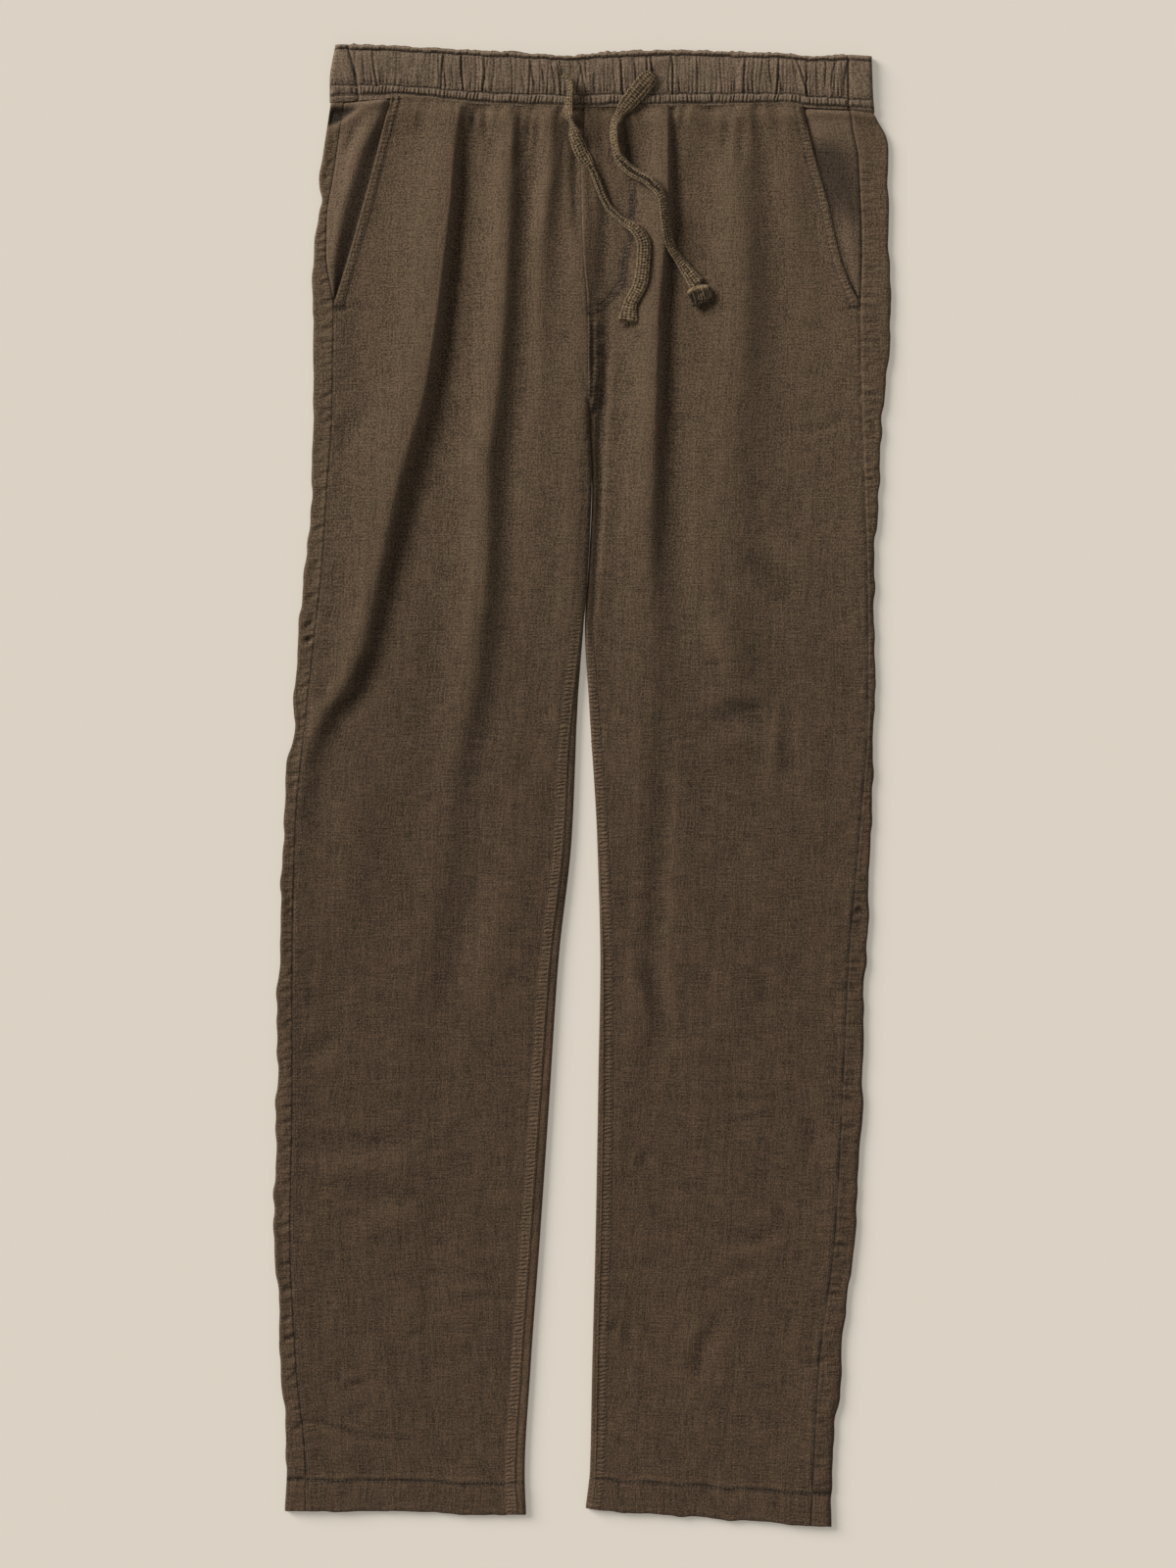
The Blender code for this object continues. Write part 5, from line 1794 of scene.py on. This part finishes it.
def leg_stitches(leg: Leg) -> list[Rows]:
    """The rows of stitches along a leg's side seam, pocket opening, inseam and hem.

    Args:
        leg: The leg.

    Returns:
        Each row's (x, down) points.
    """
    beside = np.linspace(POCKET_FOOT + 4, 1016, 90)
    opening = np.linspace(48, POCKET_FOOT - 1, 24)
    inseam = np.linspace(CROTCH + 150, 1030, 90)
    rows = [(beside, leg.seam(beside) + 2.2)]
    rows += [(opening, leg.opening(opening) + inset) for inset in POCKET_ROWS]
    rows += [(inseam, leg.inner_centre(inseam) + leg.front_turn(inseam) - inset) for inset in INSEAM_ROWS]
    made = [tuple(zip(leg.x(down, across).tolist(), down.tolist())) for down, across in rows]
    share = np.linspace(0.02, 0.98, 30)
    x = leg.x(HEM_ROW, share * float(leg.width(HEM_ROW)))
    down = HEM_ROW + leg.hem_drop(share) * 0.93
    return made + [tuple(zip(x.tolist(), down.tolist()))]


def stitched_rows() -> dict[str, list[Rows]]:
    """Every row of stitches that shows, by the piece that it belongs to.

    Returns:
        The rows, as (x, down) points.
    """
    x = np.linspace(-156, 187, 240)
    levels = Waistband().levels(x)[1:4]
    rows = {"waistband": [tuple(zip(x.tolist(), level.tolist())) for level in levels]}
    for side in Side:
        rows[side.value] = leg_stitches(Leg(side))
    seams = (FLY, FLY_INSIDE, *FELL)
    rows[Side.LEFT.value] += [tuple((at, down) for down, at in seam.path) for seam in seams]
    return rows


class Graph:
    """Adds and joins the nodes of one shader tree."""

    def __init__(self, tree: bpy.types.NodeTree) -> None:
        """Starts on an existing tree."""
        self.tree = tree

    def add(self, kind: str, inputs: Inputs | None = None, **settings: object) -> bpy.types.Node:
        """Adds a node.

        Args:
            kind: The node's type.
            inputs: A value, or the output that feeds it, for each of its inputs.
            settings: Its other settings.

        Returns:
            The node.
        """
        node = self.tree.nodes.new(kind)
        for name, value in settings.items():
            setattr(node, name, value)
        for name, value in (inputs or {}).items():
            self.feed(node.inputs[name], value)
        return node

    def feed(self, socket: Socket, value: object) -> None:
        """Joins an output to a socket, or sets the socket's value.

        Args:
            socket: The input.
            value: The output that feeds it, or its value.
        """
        if isinstance(value, Socket):
            self.tree.links.new(value, socket)
        else:
            socket.default_value = value

    def maths(self, operation: str, first: object, second: object = 0.0, clamp: bool = False) -> Socket:
        """A sum on one or two values."""
        node = self.add("ShaderNodeMath", {0: first, 1: second}, operation=operation, use_clamp=clamp)
        return node.outputs[0]

    def plus(self, first: object, second: object, clamp: bool = False) -> Socket:
        """Two values together."""
        return self.maths("ADD", first, second, clamp)

    def less(self, first: object, second: object, clamp: bool = False) -> Socket:
        """One value without another."""
        return self.maths("SUBTRACT", first, second, clamp)

    def times(self, first: object, second: object) -> Socket:
        """One value taken as often as another says."""
        return self.maths("MULTIPLY", first, second)

    def mix(self, share: object, first: object, second: object, way: str = "MIX") -> Socket:
        """A colour between two others."""
        node = self.add("ShaderNodeMix", {0: share, 6: first, 7: second}, data_type="RGBA", blend_type=way)
        return node.outputs[2]

    def noise(self, place: Socket, scale: tuple[float, float], detail: float, shift: float = 0.0) -> Socket:
        """Soft random cells, stretched by their two scales.

        Args:
            place: Where it is read.
            scale: Cells to a map unit, each way.
            detail: How much finer noise is in it.
            shift: Which part of the noise is read.

        Returns:
            The noise.
        """
        settings = {"Vector": place, "Location": (shift, shift, 0), "Scale": (*scale, 1.0)}
        moved = self.add("ShaderNodeMapping", settings).outputs[0]
        settings = {"Vector": moved, "Scale": 1.0, "Detail": detail}
        return self.add("ShaderNodeTexNoise", settings, noise_dimensions="2D").outputs[0]

    def spread(self, value: object, low: float, high: float) -> Socket:
        """A value stretched so that low becomes 0 and high becomes 1."""
        node = self.add("ShaderNodeMapRange", {0: value, 1: low, 2: high, 3: 0.0, 4: 1.0})
        return node.outputs[0]


# The first mask holds rubbed paleness together with painted highlights and painted shade; the second is
# painted shade.
MASKS = ("Wear", "Shade", "Ladder", "Pull")
COLOUR, VALUE = "NodeSocketColor", "NodeSocketFloat"


def pattern_group(name: str) -> tuple[Graph, bpy.types.Node, bpy.types.Node]:
    """Starts a shader node group for a pattern of threads.

    Args:
        name: The group's name.

    Returns:
        The group's graph, and its input and output nodes.
    """
    tree = bpy.data.node_groups.new(name, "ShaderNodeTree")
    given = {"Place": "NodeSocketVector", "Light Thread": COLOUR, "Dark Thread": COLOUR}
    given.update({label: VALUE for label in (*MASKS, "Fade")})
    made = {"Colour": COLOUR, "Roughness": VALUE, "Height": VALUE}
    for sockets, way in ((given, "INPUT"), (made, "OUTPUT")):
        for label, kind in sockets.items():
            tree.interface.new_socket(name=label, in_out=way, socket_type=kind)
    return Graph(tree), tree.nodes.new("NodeGroupInput"), tree.nodes.new("NodeGroupOutput")


def linen_weave() -> bpy.types.NodeTree:
    """The linen's slubs, threads and mottling, as a colour, a roughness and a height.

    Returns:
        The group.
    """
    graph, given, made = pattern_group("linen_weave")
    plus, less, times, noise, spread = graph.plus, graph.less, graph.times, graph.noise, graph.spread
    place, pull = given.outputs["Place"], given.outputs["Pull"]
    down = graph.add("ShaderNodeSeparateXYZ", {0: place}).outputs[1]
    top = spread(down, 46.0, 10.0)

    warp = spread(noise(place, (11.0, 0.6), 3.0), 0.34, 0.66)
    weft = spread(noise(place, (0.65, 12.0), 3.0, 7.0), 0.34, 0.66)
    speck = graph.maths("POWER", spread(noise(place, (7.4, 8.4), 2.0, 3.0), 0.35, 0.65), 1.6)
    patch = spread(noise(place, (0.42, 0.36), 2.0, 5.0), 0.35, 0.65)
    cloud = spread(noise(place, (1.3, 1.1), 2.0, 9.0), 0.3, 0.7)
    streak = spread(noise(place, (2.6, 0.07), 2.0, 15.0), 0.35, 0.65)
    slubs = plus(
        spread(noise(place, (0.8, 9.0), 1.5, 21.0), 0.60, 0.74),
        spread(noise(place, (9.0, 0.8), 1.5, 23.0), 0.62, 0.76),
    )

    threads = plus(plus(times(warp, 0.24), times(weft, 0.27)), times(speck, 0.55))
    coarse = times(less(speck, 0.38), times(top, 0.36))
    threads = plus(less(threads, 0.025), coarse)
    level = plus(threads, times(given.outputs["Wear"], 0.22))
    level = plus(level, times(less(cloud, 0.5), 0.07))
    level = plus(level, times(less(streak, 0.5), 0.10))
    level = plus(level, given.outputs["Fade"])
    level = plus(level, less(times(slubs, plus(times(top, 0.16), 0.12)), 0.02))
    # Painted light: the cloth is painted lighter towards the waist, for the light that falls more strongly
    # there.
    level = plus(level, times(top, 0.23), clamp=True)
    colour = graph.mix(level, given.outputs["Dark Thread"], given.outputs["Light Thread"])
    clear = graph.maths("POWER", less(1.0, given.outputs["Shade"], clamp=True), 2.0)
    shaded = graph.mix(1.0, colour, plus(times(clear, 0.72), 0.28), "MULTIPLY")
    olive = graph.mix(times(patch, 0.5), shaded, (0.94, 1.02, 0.93, 1), "MULTIPLY")
    warm = graph.mix(spread(down, 40.0, 66.0), olive, (0.925, 0.880, 0.875, 1), "MULTIPLY")
    graph.feed(made.inputs["Colour"], warm)
    graph.feed(made.inputs["Roughness"], less(0.95, times(threads, 0.12)))

    drift = times(noise(place, (1.6, 1.6), 1.0, 2.0), 0.35)
    rungs = graph.maths("SINE", times(plus(down, drift), 2 * math.pi / RUNG_PITCH))
    across = times(noise(place, (0.7, 2.1), 2.5, 11.0), graph.maths("MAXIMUM", pull, 0.0))
    along = times(noise(place, (3.2, 0.8), 1.5, 13.0), graph.maths("MAXIMUM", times(pull, -1.0), 0.0))
    height = plus(plus(times(warp, 0.10), times(weft, 0.10)), times(speck, 0.10))
    height = plus(height, times(times(rungs, given.outputs["Ladder"]), 0.38))
    height = plus(height, times(across, 2.6))
    graph.feed(made.inputs["Height"], plus(height, times(along, 2.2)))
    return graph.tree


def tape_knit() -> bpy.types.NodeTree:
    """The drawstring's knitted loops, as a colour, a roughness and a height.

    Returns:
        The group.
    """
    graph, given, made = pattern_group("tape_knit")
    plus, less, times = graph.plus, graph.less, graph.times
    place = given.outputs["Place"]
    speck = graph.spread(graph.noise(place, (9.0, 7.0), 2.0), 0.32, 0.68)
    cell = graph.spread(graph.noise(place, (5.5, 6.5), 1.0, 4.0), 0.38, 0.62)
    level = plus(times(speck, 0.50), times(cell, 0.06))
    level = plus(plus(level, times(given.outputs["Wear"], 0.34)), given.outputs["Fade"])
    level = less(level, times(given.outputs["Shade"], 0.7), clamp=True)
    colour = graph.mix(level, given.outputs["Dark Thread"], given.outputs["Light Thread"])
    graph.feed(made.inputs["Colour"], colour)
    graph.feed(made.inputs["Roughness"], less(0.95, times(speck, 0.15)))
    graph.feed(made.inputs["Height"], times(plus(speck, cell), 0.16))
    return graph.tree


@dataclass(frozen=True)
class Finish:
    """One cloth finish: its two thread colours and how it takes the light."""

    name: str
    light: Triple
    dark: Triple
    fade: float = 0.0
    sheen: float = 0.12
    bump: float = 1.0

    def make(self, group: bpy.types.NodeTree) -> bpy.types.Material:
        """Builds the material around a shared pattern group.

        Args:
            group: The pattern group.

        Returns:
            The material.
        """
        made = bpy.data.materials.new(self.name)
        made.use_nodes = True
        graph = Graph(made.node_tree)
        shader = made.node_tree.nodes["Principled BSDF"]
        values = {
            "Place": graph.add("ShaderNodeUVMap", uv_map=CLOTH_MAP).outputs[0],
            "Light Thread": (*self.light, 1),
            "Dark Thread": (*self.dark, 1),
            "Fade": self.fade,
        }
        for name in MASKS:
            values[name] = graph.add("ShaderNodeAttribute", attribute_name=name.lower()).outputs[2]
        pattern = graph.add("ShaderNodeGroup", node_tree=group)
        for label, value in values.items():
            graph.feed(pattern.inputs[label], value)
        graph.feed(shader.inputs["Base Color"], pattern.outputs["Colour"])
        graph.feed(shader.inputs["Roughness"], pattern.outputs["Roughness"])
        bump = {"Height": pattern.outputs["Height"], "Distance": MM * self.bump, "Strength": 1.0}
        graph.feed(shader.inputs["Normal"], graph.add("ShaderNodeBump", bump).outputs[0])
        shader.inputs["Sheen Weight"].default_value = self.sheen
        shader.inputs["Sheen Roughness"].default_value = 0.5
        shader.inputs["Specular IOR Level"].default_value = 0.2
        return made


LINEN = Finish("linen", (0.143, 0.0908, 0.0536), (0.026, 0.0155, 0.0078))
BAND_LINEN = Finish("waistband_linen", (0.205, 0.140, 0.093), (0.028, 0.0172, 0.0095), 0.06)
# The facings' linen is painted lighter than the legs' linen, for the light that the raised facings catch.
LIT_FACING_LINEN = Finish("pocket_facing_linen", (0.160, 0.103, 0.064), (0.026, 0.0157, 0.0082))
KNIT = Finish("drawstring_knit", (0.335, 0.228, 0.125), (0.022, 0.0142, 0.0070), 0.04, 0.08, 1.4)
THREAD = Finish("sewing_thread", (0.130, 0.096, 0.066), (0.045, 0.031, 0.020), 0.0, 0.1, 0.5)


@dataclass(frozen=True)
class Studio:
    """The plain pale surface, the soft light and the camera."""

    floor_size: float = 40.0  # metres
    floor_colour: Triple = (0.510, 0.469, 0.412)
    # The floor glows though it is no lamp: painted light that lifts the cast shadows on it.
    shadow_lifting_floor_glow: Triple = (0.2543, 0.2338, 0.2025)
    floor_drop: float = 0.0002  # metres below the cloth
    lens: float = 85.0
    sensor: float = 36.0
    far: float = 100.0  # metres that the camera sees
    camera_place: Triple = (0.0045, 0.0014, 2.625)
    sun_turn: float = 146.0  # degrees from +x to where the light comes from
    sun_height: float = 27.0
    sun_softness: float = 32.0
    sun_power: float = 4.25
    sun_colour: Triple = (1.0, 0.985, 0.96)
    sky_power: float = 0.27
    sky_colour: Triple = (1.0, 0.99, 0.97)

    def camera(self) -> None:
        """Sets the camera straight above, as the trousers are seen."""
        lens = bpy.data.cameras.new("camera")
        lens.lens = self.lens
        lens.sensor_width = self.sensor
        lens.clip_end = self.far
        camera = add_to_scene("camera", lens)
        camera.location = self.camera_place
        bpy.context.scene.camera = camera

    def build(self) -> None:
        """Lays the floor and sets the lights."""
        bpy.ops.object.select_all(action="DESELECT")
        bpy.ops.mesh.primitive_plane_add(size=self.floor_size, location=(0, 0, -self.floor_drop))
        floor = bpy.context.object
        floor.name = "floor"
        bpy.ops.object.transform_apply(location=True, rotation=False, scale=False)
        paint = bpy.data.materials.new("plain_floor")
        paint.use_nodes = True
        shader = paint.node_tree.nodes["Principled BSDF"]
        shader.inputs["Base Color"].default_value = (*self.floor_colour, 1)
        shader.inputs["Roughness"].default_value = 0.9
        shader.inputs["Specular IOR Level"].default_value = 0.1
        # The floor's glow: painted light that lifts the cast shadows on it.
        shader.inputs["Emission Color"].default_value = (*self.shadow_lifting_floor_glow, 1)
        shader.inputs["Emission Strength"].default_value = 1.0
        floor.data.materials.append(paint)
        lamp = bpy.data.lights.new("key_light", "SUN")
        lamp.energy = self.sun_power
        lamp.angle = math.radians(self.sun_softness)
        lamp.color = self.sun_colour
        key = add_to_scene("key_light", lamp)
        turn, height = math.radians(self.sun_turn), math.radians(self.sun_height)
        level = math.cos(height)
        away = Vector((math.cos(turn) * level, math.sin(turn) * level, math.sin(height)))
        key.rotation_euler = away.to_track_quat("Z", "Y").to_euler()
        world = bpy.data.worlds.new("sky")
        world.use_nodes = True
        back = world.node_tree.nodes["Background"]
        back.inputs[0].default_value = (*self.sky_colour, 1)
        back.inputs[1].default_value = self.sky_power
        bpy.context.scene.world = world
        bpy.context.scene.view_settings.view_transform = "Standard"


# What shows of each cut piece: its width and length in metres, its flat area, and what it lies on.
CUTS = {
    "right_back_cloth": (0.256, 1.005, 0.214, []),
    "left_back_cloth": (0.256, 1.012, 0.217, []),
    "right_pocket_facing_cloth": (0.064, 0.168, 0.0070, ["right_back_cloth"]),
    "left_pocket_facing_cloth": (0.058, 0.168, 0.0066, ["left_back_cloth"]),
    "right_front_cloth": (0.232, 1.005, 0.180, ["right_back_cloth", "right_pocket_facing_cloth"]),
    "left_front_cloth": (0.228, 1.005, 0.183, ["left_back_cloth", "left_pocket_facing_cloth"]),
    "waistband_back_cloth": (0.480, 0.046, 0.0205, ["right_back_cloth", "left_back_cloth"]),
    "waistband_front_cloth": (0.430, 0.046, 0.0196, ["waistband_back_cloth"]),
}


def report(piece: Piece) -> None:
    """Logs a finished piece and its number of triangles."""
    count = sum(len(face.vertices) - 2 for face in piece.data.polygons)
    LOG.info("%s: %d triangles", piece.name, count)


def settle(piece: Piece, finish: bpy.types.Material, slot: str, *nodes: str) -> Piece:
    """Gives a piece its finish and its body, hides the solids that it stands for, and logs it.

    Args:
        piece: The finished piece.
        finish: Its material.
        slot: Not used.
        nodes: The solids that it stands for.

    Returns:
        The piece.
    """
    piece.data.materials.clear()
    piece.data.materials.append(finish)
    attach(piece, "root")
    if nodes:
        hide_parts(*nodes)
    report(piece)
    return piece


def main() -> None:
    """Builds the camera, the drawstring, the cloth, its stitching and the studio."""
    logging.basicConfig(level=logging.INFO, format="%(message)s")
    studio = Studio()
    studio.camera()
    weave, knit_group = linen_weave(), tape_knit()
    linen, band_linen = LINEN.make(weave), BAND_LINEN.make(weave)
    lit_facing_linen, knit, thread = LIT_FACING_LINEN.make(weave), KNIT.make(knit_group), THREAD.make(weave)

    right_tape = settle(RIGHT_TAPE.build(), knit, "drawstring", "drawstring_right")
    fray = settle(Fray().build(RIGHT_TAPE), knit, "drawstring")
    left_tape = settle(LEFT_TAPE.build(), knit, "drawstring", "drawstring_left")
    knot = settle(TapeKnot().build(), knit, "drawstring", "drawstring_knot")
    ends = ((right_tape, RIGHT_TAPE, "bare", fray), (left_tape, LEFT_TAPE, "knot", knot))
    for tape, model, far_end, on_it in ends:
        path = model.path()
        length = float(np.linalg.norm(np.diff(path, axis=0), axis=1).sum())

    cloths = {}
    for side in Side:
        name, cut = side.value, LegCloth(side)
        cloths[name] = [
            settle(cut.back(), linen, "linen", name + "_back"),
            settle(cut.facing(), lit_facing_linen, "linen", name + "_pocket_facing"),
            settle(cut.front(), linen, "linen", name + "_front"),
        ]
    band = Waistband()
    cloths["waistband"] = [
        settle(band.back(), band_linen, "linen", "waistband_back"),
        settle(band.front(), band_linen, "linen", "waistband_front"),
    ]
    for pieces in cloths.values():
        for piece in pieces:
            width, length, area, under = CUTS[piece.name]
            LOG.info("%s: cut from %.3f by %.3f metres", piece.name, width, length)
    for where, rows in stitched_rows().items():
        under = cloths[where] + (cloths["right"] if where == "left" else [])
        settle(Stitching(where + "_stitching", tuple(rows)).build(under), thread, "thread")
    studio.build()


if __name__ == "__main__":
    main()
